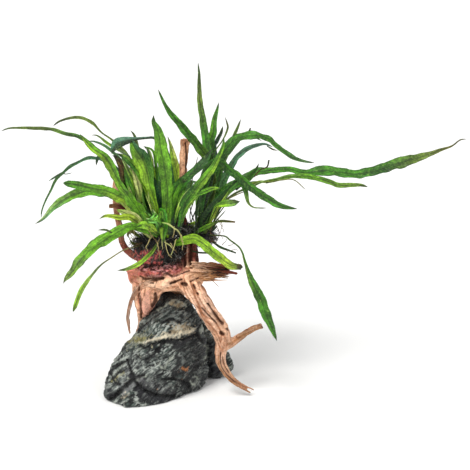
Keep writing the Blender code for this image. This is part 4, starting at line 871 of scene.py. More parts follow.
def solid_shift(name, leaf):
    """How far the leaf's solid was moved in depth to clear its neighbours: the nudge that
    brings the leaf's tip nearest to the solid's corners."""
    corners = [v.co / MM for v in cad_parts[name].data.vertices]
    tree = KDTree(len(corners))
    for i, corner in enumerate(corners):
        tree.insert(corner, i)
    tree.balance()

    def miss(shift):
        tip = seen(*leaf["route"][-1], leaf["depths"][-1] + shift)
        near = {tuple(round(x, 2) for x in c[0]) for c in tree.find_n(tip, 12)}
        return sum(sorted((Vector(c) - tip).length for c in near)[:4])

    return min(NUDGES, key=miss)


def leaf_tone(leaf, seed, place, done, left, s, light):
    """The colour of a leaf at s across it, from -1 to 1."""
    tone = shade_along(leaf["shades"], place)
    # one half takes its own shades: partly the leaf's own colour, partly painted light and shade of the
    # fold's two halves
    if "right" in leaf:
        tone = tone.lerp(shade_along(leaf["right"], place), min(max(0.5 + SIDE_BLEND * s, 0.0), 1.0))
    tone = tone * light
    if "tip" not in leaf:
        char = left / DARK_TIP + 0.5 * noise.noise((done / 1.5, s, seed))
        tone = tone.lerp(SHADES["black"], 0.85 * min(max(1.1 - char, 0.0), 1.0))
    return tone


def leaf_section(leaf, seed, place, done, left, half, point, side, facing):
    """One ring of a leaf, round its point: corners, colours, and distances from the rib.
    done and left are the lengths behind the ring and ahead of it."""
    sway = 0.5 * noise.noise((done / 17, seed, 4.0))
    # one half of the blade is painted lighter and the other darker, as a fold would light them, unless it
    # has right shades
    tilt = 0.0 if "right" in leaf else 0.3 * noise.noise((done / 60, seed, 6.0))
    dim = BASE_LIGHT + (1 - BASE_LIGHT) * min(1.0, place / DIM_BASE)
    crinkle = 0.0
    top, under = [], []
    for s in COLUMNS:
        edge = 1 if s > 0 else -1
        wobble = 1 + 0.10 * abs(s) * noise.noise((done / 9.0, seed, 9.0 * edge))
        wobble += 0.07 * abs(s) * noise.noise((done / 2.6, seed, 5.0 * edge))
        out = s * half * wobble
        ripple = RIPPLE * half * abs(s) ** 2.4 * noise.noise((done / 8.5, 3.0 * edge, seed))
        if "ruffle" in leaf:
            crinkle = noise.noise((done / 2.2, 3.0 * s, seed))
            ripple += leaf["ruffle"] * crinkle
        cushions = noise.noise((out / 2.3, done / 2.7, seed)) * min(1.0, half / 3)
        lift = leaf.get("fold", FOLD) * half * math.sqrt(s * s + FOLD_ROUND) + ripple + sway
        lift += QUILT * cushions * (1 - s**4)
        groove = math.exp(-((s * half / RIB_HALF) ** 2)) * min(1.0, half / 4)
        thick = (BLADE_THICK * (1 - s * s) + MARGIN_THICK) * min(1.0, half / 2 + 0.3)
        # the colour is scaled by light: at random, with painted light on the raised cushions and crinkles,
        # painted shade in the rib's groove, lighter towards the margins, and painted shade at the base
        light = 1 + 0.20 * cushions + 0.60 * noise.noise((done / 12, 0.9 * s, seed + 3))
        light += 0.24 * noise.noise((done / 3.5, 2 * s, seed + 8)) + 0.12 * abs(s) - 0.16 * groove
        light += 0.9 * crinkle
        light = max(light + tilt * math.tanh(5 * s), LEAST_LIGHT) * dim
        tone = leaf_tone(leaf, seed, place, done, left, s, light)
        top.append((point + side * out + facing * (lift + thick / 2 - GROOVE * groove), tone, out))
        if abs(s) < 1:
            below = point + side * out + facing * (lift - thick / 2 - RIB * groove)
            under.append((below, tone * 0.9 + SHADES["blue"] * 0.06, out))
    return zip(*(top + under[::-1]))


def blade(pile, leaf, seed, shift=0.0, blunt=False):
    """Adds one wavy, quilted leaf to the pile."""
    flat = even_points([seen(*p[:2], 0) for p in leaf["route"]], SECTION_STEP)
    last = len(flat) - 1
    points = [
        seen(*view_place(p), spline(leaf["depths"], i / last) + shift) for i, p in enumerate(flat)
    ]
    towards = Vector((0, 0, 1)) if "leans_back" in leaf else -VIEW_AHEAD
    length = sum((b - a).length for a, b in zip(points, points[1:]))
    corners, colours, uvs = [], [], []
    done = 0.0
    for i, (point, way) in enumerate(zip(points, directions(points))):
        place = i / last
        if i:
            done += (point - points[i - 1]).length
        roll = math.radians(spline(leaf["rolls"], place))
        facing = (Matrix.Rotation(roll, 3, way) @ (towards - way * towards.dot(way))).normalized()
        side = way.cross(facing).normalized()
        half = max(spline(leaf["widths"], place), LEAST_WIDTH) / 2 / math.cos(roll)
        left = length - done
        if not blunt:
            half *= min(1.0, (left / TIP_TAPER) ** 0.6 + 0.04)
        ring, tones, outs = leaf_section(leaf, seed, place, done, left, half, point, side, facing)
        corners += ring
        colours += tones
        uvs += [(out / 10, done / 10 + 2.7 * seed) for out in outs]
    pile.add(corners, tube_faces(last + 1, RING, turned=True), colours, uvs)


def build_leaves(material):
    for number, (name, *row) in enumerate(LEAVES):
        leaf = read_leaf(*row)
        pile = Pile()
        blade(pile, leaf, 3.7 * number, solid_shift("leaf_" + name, leaf), "blunt" in leaf)
        pile.place("blade_" + name, material, "leaf", "leaf_" + name)


def build_small_leaves(material):
    pile = Pile()
    for number, row in enumerate(SMALL_LEAVES):
        leaf = read_leaf(*row)
        blade(pile, leaf, 2.3 * number + 0.7, blunt=leaf["widths"][-1] > BLUNT_WIDTH)
    pile.place("small_leaves", material, "leaf")


def young_leaf(crowd):
    """An upright leaf that starts near the crowd's root and bends down a little."""
    turn = math.radians(rng.uniform(*crowd["turns"]))
    rise = math.radians(rng.uniform(*crowd["rises"]))
    length = rng.uniform(*crowd["lengths"])
    way = Vector((math.cos(turn) * math.cos(rise), math.sin(turn) * math.cos(rise), math.sin(rise)))
    root = Vector(crowd["root"]) + Vector((way.x, way.y, 0)) * crowd["spread"]
    sag = Vector((0, 0, 5))
    route = [root + way * length * k / 3 - sag * (k / 3) ** 2 for k in range(4)]
    return dict(
        route=[view_place(p) for p in route],
        widths=[2, rng.uniform(4, 6), rng.uniform(3.5, 5.5), 1],
        depths=[p.y for p in route],
        rolls=[rng.uniform(-40, 40) for _ in range(3)],
        shades=crowd["shades"],
    )


def build_crowds(material):
    pile = Pile()
    for crowd in CROWDS:
        for number in range(crowd["count"]):
            blade(pile, young_leaf(crowd), 5.1 * number + crowd["count"])
    pile.place("young_leaves", material, "leaf")


# ---------------------------------------------------------------- the driftwood

WOOD_VOXEL = 0.75
WOOD_SMOOTHINGS = 5
WOOD_SWELL = 0.9  # makes up for what the grooves take, where a limb has no swell of its own
FULL_LIMB = 8  # limbs that start thinner than this have shallower grooves
STRAND_SIDES = 8
STRAND_SUNK = 0.1  # how far a strand's middle lies below the surface, as a share of its radius
STRAND_STEP = 4.0
GRAIN_STEP = 4.0
LIMB_BLEND = 1.6  # how gradually one limb's grain passes into the next one's
HOLLOW_SIGHT = 1.5  # from this far off the surface a hollow is seen, or else hidden

# How the grain runs: the middle line of each limb as (across, up, depth), its radii and
# its colours along it, and its swell where it has its own
GRAIN = table("""
stump | -40,121,4 -14,118,8 12,117,9 36,121,-1 | 8 20 21 8 | bark stump stump stump tan
right_leg | 14,118,-10 29,93,-17 41,73,-15 52,55,-10 50,35,-8 | 9 8 8 8 5 | stump leg tan leg
upright_stick | 21,122,-3 19,148,-2 11.5,170,-1 11,190,0 13,222,0 15.3,254,1 | 8 7 5 4 4 | mahogany mahogany
 mahogany stick stick | 0.3
cut_branch | 53,44,-8 67,54,-11 80,62.5,-15 92,67,-18 | 4.5 4 3.5 3.2 | tan branch branch | 0.4
twig_left | 48,47,-10 48,32,-12 58,15,-12 80.5,0.4,-9 | 3.4 2.7 1.9 1 | tan twig twig | 0.3
twig_right | 52.5,45,-7 53.4,31,-9 62,16,-9 83.5,3,-6 | 3.2 2.4 1.6 1 | tan twig twig | 0.3
frayed_stub | 16,120,-12 40,122,-20 60,122,-21 | 6 8 3 | tan frayed mahogany
outer_root | -16,110,-18 -33,103.5,-21 -42,78,-20 -40.3,59.5,-20 | 4 2.7 2 1.1 | stump root root twig | 0.3
back_root | -33,121,4 -32.5,93,12 -29,66,30 -46,36,54 | 4.4 3.2 3 1.8 | tan stump root root
inner_root | -24,113,-5 -25.5,91,2 -21,73,20 | 6 4.8 2.6 | stump pink pink
left_arm | -24,131,2 -42,142,5 -49,161,7 -54,192,9 -51,224,12 | 4 3.6 3.2 3.8 2.6 | bark mahogany arm tan
 arm | 0.3
arm_stub | -40,182,3 -52,187,3 -61,187,2 | 2.4 2.5 2.2 | mahogany mahogany frayed | 0.3
""")

# Strands that stand out of the wood as the viewer sees it, and their radii
STRANDS = table("""
-33,103 -30,108 -24,110.6 -16,110.4 -8,112 0,113 9,117 19,121 | 2.6
-29,119 -20,116.6 -9,116.8 0,119 10,123 19,127 | 1.7
22,131 16,125 13,118 9,112 | 1.8
5,110 15,101.5 23,92 29,82 36,72 43,61 48,50 47,38 | 2.4
28,112 35,103 41,93 48,81 54,71 60,61 | 1.9
18,112 22,106 28,97 34,88 41,77 49,66 | 1.4
-24,109 -12,106 -2,107 8,110 | 1.9
17.5,152 17.5,140 17,126 14,118 | 1.6
25,150 25,138 24,127 | 1.4
34.5,103 39.5,92 48.5,76 57,70 62.5,62 | 1.8
8,106 14,103.5 20,102 | 1.5
21,130 30,128 40,126 | 1.5
22,126 32,122 42,117 49,113 | 1.6
-31,104 -29,92 -28,80 | 1.3
54,66 59,62 58,55 52,52 | 1.6
47,62 50,64 55,63 | 1.3
""")

# The same on the side that faces away, as (x, z): guessed
BACK_STRANDS = table("""
-34,118 -20,105 -4,95 12,92 | 2.4
30,118 20,104 8,95 | 2.2
-30,124 -12,112 6,106 24,112 | 2.0
28,122 30,108 33,96 40,84 | 2.2
-10,124 -12,108 -14,97 | 1.7
12,124 14,110 11,98 | 1.9
-24,110 -27,96 -30,84 | 1.8
-20,122 -6,116 10,118 22,124 | 1.6
""")

# Hollows in the side that the viewer sees: route, half-width and depth; each is sunk and darkened with
# painted shade
HOLLOWS = table("""
12.2,109.0 15.8,108.4 | 2.5 4.5
24,108 25.4,105.2 | 1.5 2.6
27.6,99.8 28.2,99 | 1.4 2.2
0.5,109 6,111.6 11.5,113.6 | 1.1 2.6
38,89.3 43,82.4 46,78 | 1.2 3.0
43.5,81 48,75 52.6,69.5 | 2.0 4.4
32,85 39,77 46.6,69.5 | 1.0 2.4
51,59.8 52.8,58.6 | 2.4 3.2
57,64.6 58.6,63 | 1.3 2.0
-14.5,98 -14,93 -17,87 | 2.4 4.0
-27,113.8 -16,113.2 -7,114.6 | 1.5 2.6
-19.6,110 -16.6,109.6 | 1.0 1.8
-31,106 -30.4,93 -28.6,75 | 0.9 2.4
14,149 14.4,127 | 1.2 2.4
21.2,148 20.6,127 | 1.7 3.0
28,147 27,131 | 1.2 2.2
20.5,111.5 28,114.2 | 1.0 1.8
4,116.6 12,120 20,122.8 | 0.9 1.8
-6,120.4 2,116.8 | 1.6 2.0
-30,116.6 -24,113.6 | 1.2 2.0
36,126.6 46,125.4 56,124 | 2.2 3.4
15.6,250 16.8,232 16.4,214 | 1.3 2.0
50.6,40 51,29 55,21 62,13.6 71,7.4 79,2.6 | 0.7 1.6
52.6,36 54,29 59,20 | 0.5 1.0
""")

# Colours laid over the limbs as the viewer sees them: route, half-width and strength, colour. Most are the
# wood's own; those marked below are painted light and shade
# a painted highlight down the middle of the stick's foot
# a painted highlight down the upper stick's left side
# painted shade down the right side of the stick's foot
# painted shade in the hollow at the top of the frayed stub
WOOD_MARKS = table("""
-30,130 -16,126 -4,128 6,124 | 9 0.85 | bark
-30,119 -20,119.6 -10,120 | 3 0.8 | rose
-32,126 -27,122 -24,118 | 2 0.8 | mahogany
-22,117 -14,116 -8,116.6 | 2.4 0.75 | purple
-18,124 -8,122 -2,124 | 2.0 0.7 | purple
-2,122 6,121 10,123 | 2.2 0.7 | rose
-10,128 0,126 8,130 | 2.4 0.8 | purple
-30,134 -24,132 -16,132 | 2.4 0.8 | purple
17.4,150 17.2,140 16.6,128 | 1.3 0.6 | tan
15.2,148 15.0,138 14.4,126 | 0.9 0.8 | mahogany
22,150 22,128 | 2.6 0.55 | black
12.6,150 13,128 | 1.4 0.7 | purple
24,133 26,130 | 1.6 0.6 | bark
40,126 48,125 56,124 | 5.5 0.85 | mahogany
-20,109 -10,107 0,109 | 3.4 0.6 | pale_wood
2,113 10,118 | 2.0 0.55 | pale_wood
30,96 38,84 46,70 | 1.2 0.6 | pale_wood
-22,100 -23,90 -22,78 | 2.6 0.7 | pink
52,70 60,62 | 2.0 0.4 | tan
12,250 12,236 11,222 | 1.4 0.5 | stump
12,253 18,253 | 1.6 0.5 | mahogany
48.6,36 50,25 57,15 68,6 80,0.6 | 1.1 0.7 | frayed
60,49 72,57 90,64.6 | 1.4 0.6 | frayed
90,68 93,66 | 1.5 0.5 | mahogany
""")

# The barky part, as the viewer sees it, and the size of its scales along x, y and z
BARK_ROUTE = [(-27, 130), (-12, 126), (2, 127)]
BARK_HALF = 9.0
BARK_SCALES = (4.5, 3, 1.7)
BARK_CHIPS = (1.8, 2, 1.0)


def viewer_ray(across, up):
    return EYE, (seen(across, up, 0) - EYE).normalized()


def back_ray(x, z):
    return Vector((x, 300, z)), Vector((0, -1, 0))


def limb_tree(names):
    """What rays at the limbs' solids meet."""
    points, faces = [], []
    for name in names:
        bm = node_shape(name)
        first = len(points)
        points += [v.co / MM for v in bm.verts]
        bm.verts.index_update()
        faces += [[first + v.index for v in face.verts] for face in bm.faces]
        bm.free()
    return BVHTree.FromPolygons(points, faces)


def add_strand(bm, tree, route, radius, rays):
    """Lays a strand on the surface that rays, (across, up) -> (start, way), first meet."""
    points = []
    for place in flat_curve(route, STRAND_STEP):
        start, way = rays(*place)
        hit = tree.ray_cast(start, way)[0]
        if hit is not None:
            points.append(hit + way * radius * STRAND_SUNK)
    last = len(points) - 1
    arcs = [math.sin(math.pi * (0.12 + 0.76 * i / last)) for i in range(last + 1)]
    pile = Pile()
    pile.tube(points, [radius * (0.45 + 0.55 * arc) for arc in arcs], [None] * len(points), STRAND_SIDES)
    corners = [bm.verts.new(p) for p in pile.points]
    for face in pile.faces:
        bm.faces.new([corners[i] for i in face])


def limb_shapes(names, swells):
    """The swollen limbs and the strands on them, in millimetres."""
    bm = bmesh.new()
    for name, swell in zip(names, swells):
        limb = node_shape(name)
        moves = [v.normal * swell * MM for v in limb.verts]
        for vertex, move in zip(limb.verts, moves):
            vertex.co += move
        mesh = bpy.data.meshes.new("limb")
        limb.to_mesh(mesh)
        limb.free()
        bm.from_mesh(mesh)
        bpy.data.meshes.remove(mesh)
    rescale(bm, 1 / MM)
    tree = limb_tree(names)
    for strands, rays in ((STRANDS, viewer_ray), (BACK_STRANDS, back_ray)):
        for route, (radius,) in strands:
            add_strand(bm, tree, route, radius, rays)
    return bm


def furrows(points, route, radii):
    """How far each point is off the limb, and how far along it, 0 to 1; how deep long grooves
    and fine ones are there, 0 to 1; and light and dark bands, about -0.5 to 0.5. All three
    are noise round the limb, drawn out along it and bent a little."""
    route = [seen(*p) for p in route]
    line = [tuple(p) for p in even_points(route, GRAIN_STEP)]
    distance, run, place, whole = nearest_on(line, points)
    radius = np.interp(run / whole, np.linspace(0, 1, len(radii)), radii)
    around = points - place
    around *= (radius / np.maximum(distance, 1e-6))[:, None]
    way = np.array(route[-1] - route[0])
    way /= np.linalg.norm(way)
    around -= np.outer(around @ way, way)
    rows = []
    for a, r in zip(around, run):
        at = Vector(a)
        bend = noise.noise(at / 9 + Vector(way) * r / 30) * 1.2
        coarse = noise.noise(at / 3.6 + Vector(way * (r / 24)) + Vector((bend, 0, bend)))
        fine = noise.noise(at / 1.5 + Vector(way) * r / 10 + Vector((bend, 5, 0)))
        band = noise.noise(at / 2.6 + Vector(way) * r / 34 + Vector((bend, 9, 2)))
        rows.append(((1 - min(abs(coarse) * 2.2, 1.0)) ** 2, (1 - min(abs(fine) * 2.0, 1.0)) ** 2, band))
    return distance - radius, run / whole, *np.array(rows).T


def blended_grain(points):
    """Each limb's tone, grooves, bands and size, blended where limbs meet."""
    nearness, values = [], []
    for _, route, radii, shades, *_ in GRAIN:
        off, place, coarse, fine, bands = furrows(points, route, radii)
        nearness.append(np.exp(-np.clip(off, -3, 60) / LIMB_BLEND))
        tone = np.array([tuple(shade_along(shades, p)) for p in place])
        size = np.full(len(points), min(radii[0], FULL_LIMB) / FULL_LIMB)
        values.append(np.column_stack([tone, coarse, fine, bands, size]))
    share = np.array(nearness)
    share /= share.sum(axis=0)
    blend = (share[:, :, None] * np.array(values)).sum(axis=0)
    return blend[:, :3], *blend[:, 3:].T


def wood_hollows(mesh, points, places, front):
    """How deep hollows are at each point, and how much painted shade darkens them; only where the viewer
    sees it.
    """
    whole = BVHTree.FromPolygons(points.tolist(), [list(f.vertices) for f in mesh.polygons])
    sunk, dark = np.zeros((2, len(points)))
    for route, (half_width, deep) in HOLLOWS:
        profile = hollow_profile(places, route, half_width)
        for i in np.nonzero((profile > 0) & (front > 0.0))[0]:
            point = Vector(points[i])
            towards = (EYE - point).normalized()
            if whole.ray_cast(point + towards * HOLLOW_SIGHT, towards)[0] is None:
                sunk[i] = max(sunk[i], deep * profile[i] ** 0.8)
                dark[i] = max(dark[i], min(1.0, 1.5 * profile[i]))
    return sunk, dark


def build_wood():
    names = ["wood_" + row[0] for row in GRAIN]
    swells = [row[4][0] if len(row) > 4 else WOOD_SWELL for row in GRAIN]
    mesh, points, normals = remeshed("driftwood", limb_shapes(names, swells), WOOD_VOXEL, WOOD_SMOOTHINGS)
    tone, coarse, fine, bands, size = blended_grain(points)
    lumps = cloud(points, 5.0)
    depth = size * (1.3 * coarse + 0.1) + (0.35 + 0.3 * size) * fine - 0.6 * size * lumps
    places = in_view(points)
    facing = facing_viewer(points, normals)
    front = np.clip(facing * FRONT_SHARP, 0, 1)
    sunk, hollow = wood_hollows(mesh, points, places, facing)
    points = points - normals * depth[:, None]
    points += np.array(VIEW_AHEAD) * sunk[:, None]
    ragged = 1 + 0.8 * lumps + 0.7 * cloud(points, 1.7)

    # pale lumps, light and dark bands, orange-brown painted shade in the grooves, marks, then dark painted
    # shade at the grooves' bottoms and in the hollows
    pale = np.clip(lumps * 1.2 + 0.25, 0, 0.8)[:, None]
    tone = tone * (1 - pale) + tone * 1.3 * pale
    tone = tone * np.clip(1 + 0.5 * bands, 0.6, 1.4)[:, None]
    warm_shade = np.clip(1.5 * (coarse - 0.38), 0, 0.8) + np.clip(0.9 * (fine - 0.5), 0, 0.4)
    warm_shade = np.clip(warm_shade - 1.2 * bands, 0, 0.85)[:, None]
    tone = tone * (1 - warm_shade) + np.minimum(tone, np.array(SHADES["groove_warm"])) * warm_shade
    tone = painted(tone, places, front, WOOD_MARKS, ragged)
    dark = np.maximum(np.clip(3.4 * (coarse - 0.78 + 0.25 * lumps), 0, 0.85), hollow)
    tone = mixed(tone, SHADES["groove_dark"], 0.88 * dark)
    # the bark under the left rhizome is cracked into dark and rosy scales
    bark = np.exp(-((nearest_on(flat_curve(BARK_ROUTE), places)[0] / BARK_HALF) ** 4)) * front
    scales = cloud(points / BARK_SCALES, 1) + 0.5 * cloud(points / BARK_CHIPS, 1)
    tone = mixed(tone, SHADES["purple"], bark * np.clip(-5 * (scales + 0.08), 0, 0.95))
    tone = mixed(tone, SHADES["blush"], bark * np.clip(6 * (scales - 0.12), 0, 0.85))
    place_dressed("driftwood", mesh, points, tone, wood_material(), "driftwood", *names)


# Splinters of the frayed stub: the top edge and the bottom edge of the fray, as (across, up)
FRAY_TOP = [(19, 131), (32, 130), (48, 128), (63, 125)]
FRAY_FOOT = [(20, 112), (33, 112), (45, 112.5), (55, 113)]
SPLINTERS = 110
SPLINTER_STEPS = 9
SPLINTER_TAPER = 0.72  # share of its radius that a splinter loses on the way
FRAY_FRONT = -27  # depth of the fray where it is nearest to the viewer
FRAY_BOW = 14  # how soon it curves back above and below that
FRAY_LENGTH = 40
LOW_LEVEL = 0.55  # splinters lower than this, from 0 at the top to 1, stay pale to their ends
NEAR_SHADES = ["tan", "stump", "frayed", "tan"]
LOW_SHADES = ["tan", "frayed", "stump"]
# the higher splinters end in these: browns of their own, and black as painted shade in the hollow at the
# stub's top
HIGH_SHADES = ["brown", "mahogany", "black", "frayed"]
# The dark twig and the loose thread at its end
DARK_TWIG = [(48, 121, -22), (56, 121.5, -24), (62, 120.5, -25), (67.5, 119.5, -25)]
DARK_TWIG_RADII = [1.9, 1.8, 1.7, 1.8, 1.6, 1.5, 1.5, 1.6, 1.3, 1.2, 0.9]
LOOSE_THREAD = [(40, 114, -22), (44, 111, -24), (48.5, 106.5, -25)]


def add_splinter(pile, number, top, foot):
    """Adds one splinter, at its level between the top and the foot of the fray."""
    level = rng.random()
    start = rng.uniform(0.0, 0.42)
    end = min(1.05, start + rng.uniform(0.28, 0.8))
    hump = rng.uniform(-3.4, 1.5)
    drift = rng.gauss(0, 0.36)
    front = FRAY_FRONT + FRAY_BOW * abs(level - 0.45) + rng.uniform(-1.5, 2.5)
    thick = rng.uniform(0.35, 1.15)
    near = SHADES[rng.choice(NEAR_SHADES)]
    far = SHADES[rng.choice(LOW_SHADES if level > LOW_LEVEL else HIGH_SHADES)]
    points, radii, colours = [], [], []
    for k in range(SPLINTER_STEPS + 1):
        share = k / SPLINTER_STEPS
        reach = start + (end - start) * k / SPLINTER_STEPS  # more than 1 is beyond the edges' ends
        lift = level + 0.10 * math.sin(3 * reach + number) + drift * (reach - 0.5)
        lift = min(max(lift, 0.0), 1.0)
        place = spline(top, min(reach, 1)).lerp(spline(foot, min(reach, 1)), lift)
        place.x += max(reach - 1, 0) * FRAY_LENGTH
        bulge = hump * math.sin(math.pi * k / SPLINTER_STEPS)
        points.append(seen(place.x, place.y, front + bulge + 5 * (1 - share)))
        radii.append(thick * (1 - SPLINTER_TAPER * k / SPLINTER_STEPS))
        colours.append(near.lerp(far, min(reach * 1.4, 1)) * (1.1 - 0.4 * k / SPLINTER_STEPS))
    pile.tube(points, radii, colours, 6)


def build_splinters():
    pile = Pile()
    top, foot = [[Vector((*p, 0)) for p in edge] for edge in (FRAY_TOP, FRAY_FOOT)]
    for number in range(SPLINTERS):
        add_splinter(pile, number, top, foot)
    twig = even_points([seen(*p) for p in DARK_TWIG], 2.0)
    pile.tube(twig, DARK_TWIG_RADII[:len(twig)], [SHADES["mahogany"]] * len(twig), 7)
    thread = even_points([seen(*p) for p in LOOSE_THREAD], 1.5)
    pile.tube(thread, [0.3] * len(thread), [SHADES["frayed"]] * len(thread), 5)
    pile.place("splinters", wood_material(), "driftwood")


# ---------------------------------------------------------------- the stone

STONE_VOXEL = 0.95
STONE_SMOOTHINGS = 6
STONE_SWELL = 0.9  # makes up for what smoothing and chipping take off the solid
RELIEF = 0.85  # how high the chips and layers stand
FLAT_FOOT = 3.0  # above this height the surface is chipped in full
CRACK_WIDEN = 1.5
# The rock's layers: along them, up through them, and into the rock
LAYER_ALONG = Vector((0.78, 0.0, 0.62)).normalized()
LAYER_UP = Vector((-0.60, 0.30, 0.74))
LAYER_UP = (LAYER_UP - LAYER_ALONG * LAYER_UP.dot(LAYER_ALONG)).normalized()
LAYER_IN = LAYER_UP.cross(LAYER_ALONG)
# From the darkest to the lightest, and where on that scale each colour lies
STONE_STOPS = ["stone_deep", "stone_dark", "stone_green", "stone_grey", "stone_light"]
STONE_LEVELS = [0, 0.22, 0.45, 0.75, 1]

# Broad tones, as the viewer sees them: route, half-width and strength, colour
TONES = table("""
-46,30 -38,18 -52,4 | 9 0.62 | grey_face
-36,34 -26,26 -14,26 | 9 0.66 | grey_face
-44,26 -40,17 -48,6 | 5 0.5 | lilac_face
-24,8 -12,6 -4,2 | 6 0.62 | lilac_face
-40,48 -26,56 -14,60 | 7 0.5 | stone_green
-24,68 -8,78 4,84 | 9 0.5 | stone_green
24,10 30,16 | 6 0.4 | grey_face
34,58 38,55 42,54 | 5 0.85 | grey_face
""")

# The dark parts, laid on after the layers: painted shade on the recessed right lobe, the right side, the
# bottom and the top
DEEPS = table("""
-32,8 -20,-4 0,-4 | 7 0.8 | ink
-64,2 -58,-2 | 6 0.65 | ink
-38,16 -28,15 | 3.2 0.8 | ink
4,99 -8,92 -14,86 | 9 0.72 | stone_deep
20,96 24,84 26,72 | 9 0.6 | stone_deep
20,48 26,38 16,30 24,18 | 15 0.7 | stone_deep
-14,84 0,86 12,80 | 9 0.35 | stone_deep
-14,76 0,78 14,74 | 9 0.42 | stone_deep
-20,12 0,12 20,6 | 9 0.42 | stone_deep
-12,2 8,-2 26,2 | 6 0.4 | stone_deep
40,46 44,30 46,12 | 13 0.8 | ink
4,50 12,50 20,54 | 3 0.6 | ink
""")

# Veins and stains
VEINS = table("""
-39,54 -34,54 -27,54 | 4.4 0.95 | lichen
-36,59 -31,57 -24,58 | 1.6 0.7 | pale_edge
-38,48 -30,50 -23,51 | 1.4 0.6 | pale_edge
-25,50 -20,52.6 -12,54.6 -4,56.6 | 1.7 0.9 | cream
-10,55 -3,57.8 3,57 10,58.6 18,61 22,63 | 2.2 0.92 | cream
5,63 11,64.6 17,64 | 3.6 0.85 | beige
10,61 18,62 | 1.6 0.7 | cream
-12,83 -4,88 4,92.6 9,91 16,88 | 1.1 0.85 | pale_edge
2,90 7,87.4 12,89 | 2.0 0.7 | beige
-24,72 -14,79 -6,83 | 0.8 0.9 | grey_face
-30,62 -20,70 -8,78 2,84 | 0.7 0.8 | grey_face
-8,71 0,77 8,78 | 0.8 0.8 | grey_face
-43,15 -36,12.6 -29,15 -22,18 | 0.8 0.8 | pale_edge
-46,-1 -42,4 -36,9 -28,14 | 1.8 0.9 | lilac_face
-46.4,-4.6 -44,-2 | 1.4 0.6 | cream
-58,12 -52,16 -46,20 | 1.2 0.6 | lichen
-57,17 -50,25 -44,32 | 0.7 0.6 | pale_edge
-36,42 -26,46 -16,52 | 0.7 0.7 | pale_edge
-12,30 -6,24 -2,32 3,36 | 0.8 0.75 | pale_edge
12,41 13.6,33 | 1.2 0.8 | grey_face
12.6,24.4 16.4,23.6 | 1.5 0.95 | rust
20,12 24,8 28,14 24,17 | 0.8 0.7 | pale_edge
34,31 36.6,38 37.4,44 36,47 | 1.5 0.75 | pale_edge
30,62 32,70 33,76 | 1.4 0.55 | pale_edge
31,60 33,64 37,63 | 0.8 0.8 | pale_edge
-36,66 -30,74 -24,80 -16,85 | 0.6 0.8 | grey_face
4.6,101.6 6.6,102 | 1.6 0.95 | pale_edge
-50,36 -42,46 -36,54 | 0.6 0.8 | grey_face
2,72 8,75 15,72 | 0.8 0.8 | grey_face
10,80 18,77 22,70 | 0.7 0.7 | grey_face
""")

# The same on the side that faces away, as (x, z): guessed
BACK_VEINS = table("""
36,40 20,46 4,44 -14,52 -30,50 | 2.0 0.85 | cream
30,52 14,56 -2,54 | 2.6 0.7 | beige
-30,34 -12,22 8,18 | 0.9 0.8 | pale_edge
20,70 6,76 -8,74 | 0.8 0.8 | pale_edge
-44,20 -36,30 -26,36 | 0.9 0.7 | pale_edge
10,30 24,26 40,30 | 0.9 0.8 | grey_face
""")

# Cracks and grooves that the viewer sees: route, half-width and depth; each is sunk and darkened with
# painted shade
CRACKS = table("""
-42.4,33 -40,25 -36.5,15 | 1.1 2.6
-57,26 -50,30 -42.4,32 | 0.9 1.6
-36.5,14 -46,5 -58,-6 | 2.0 3.4
-35,12 -26,3 -14,-2 4,-3 | 1.4 2.8
-36,15 -26,18 | 1.2 2.0
-30,48 -24,45 -16,50 -4,52 12,54 24,58 | 1.2 1.8
-14,42 -6,50 6,50 | 1.4 2.2
-40,62 -28,66 -18,74 | 0.8 1.2
-30,74 -16,84 -6,88 | 1.0 1.6
-8,70 2,74 10,70 | 1.2 1.8
20,26 30,28 36,33 | 1.0 2.0
-34,38 -24,33 -10,44 | 0.9 1.4
-8,14 4,14 16,10 20,4 | 1.4 2.0
-60,22 -56,12 -50,8 | 0.9 1.4
30,70 27,60 33,50 | 1.2 2.0
""")


def layered(point, along, up):
    """The point in the rock's layers, scaled so that one lump is about one unit."""
    return Vector((point.dot(LAYER_ALONG) / along, point.dot(LAYER_IN) / along, point.dot(LAYER_UP) / up))


def layer_cloud(points, along, up, shift=(0, 0, 0)):
    """Noise in lumps that lie along the layers."""
    return np.array([noise.noise(layered(p + Vector(shift), along, up)) for p in points])


def ridges(values, sharpness):
    """1 on the lines where the values pass 0, falling to 0 beside them."""
    return 1 - np.minimum(np.abs(values) * sharpness, 1.0)


def chips(points, along, up, tilt, shift=(0, 0, 0)):
    """How high a chipped, flat-faced surface stands at each point, how near an edge that is,
    and the tone of its face, from -0.5 to 0.5, which follows how the face tilts: painted light and shade."""
    rows = []
    for point in points:
        where = layered(point + Vector(shift), along, up)
        distances, centres = noise.voronoi(where)
        lean = noise.cell_vector(centres[0] * 13.7) - Vector((0.5, 0.5, 0.5))
        height = (where - centres[0]).dot(lean) * 2 + lean.x * 0.7
        rows.append((height * tilt, distances[1] - distances[0], lean.y))
    return np.array(rows).T


def layer_colours(light):
    """The stone's own colour, from dark to light."""
    stops = np.array([tuple(SHADES[word]) for word in STONE_STOPS])
    return np.column_stack([np.interp(light, STONE_LEVELS, stops[:, k]) for k in range(3)])


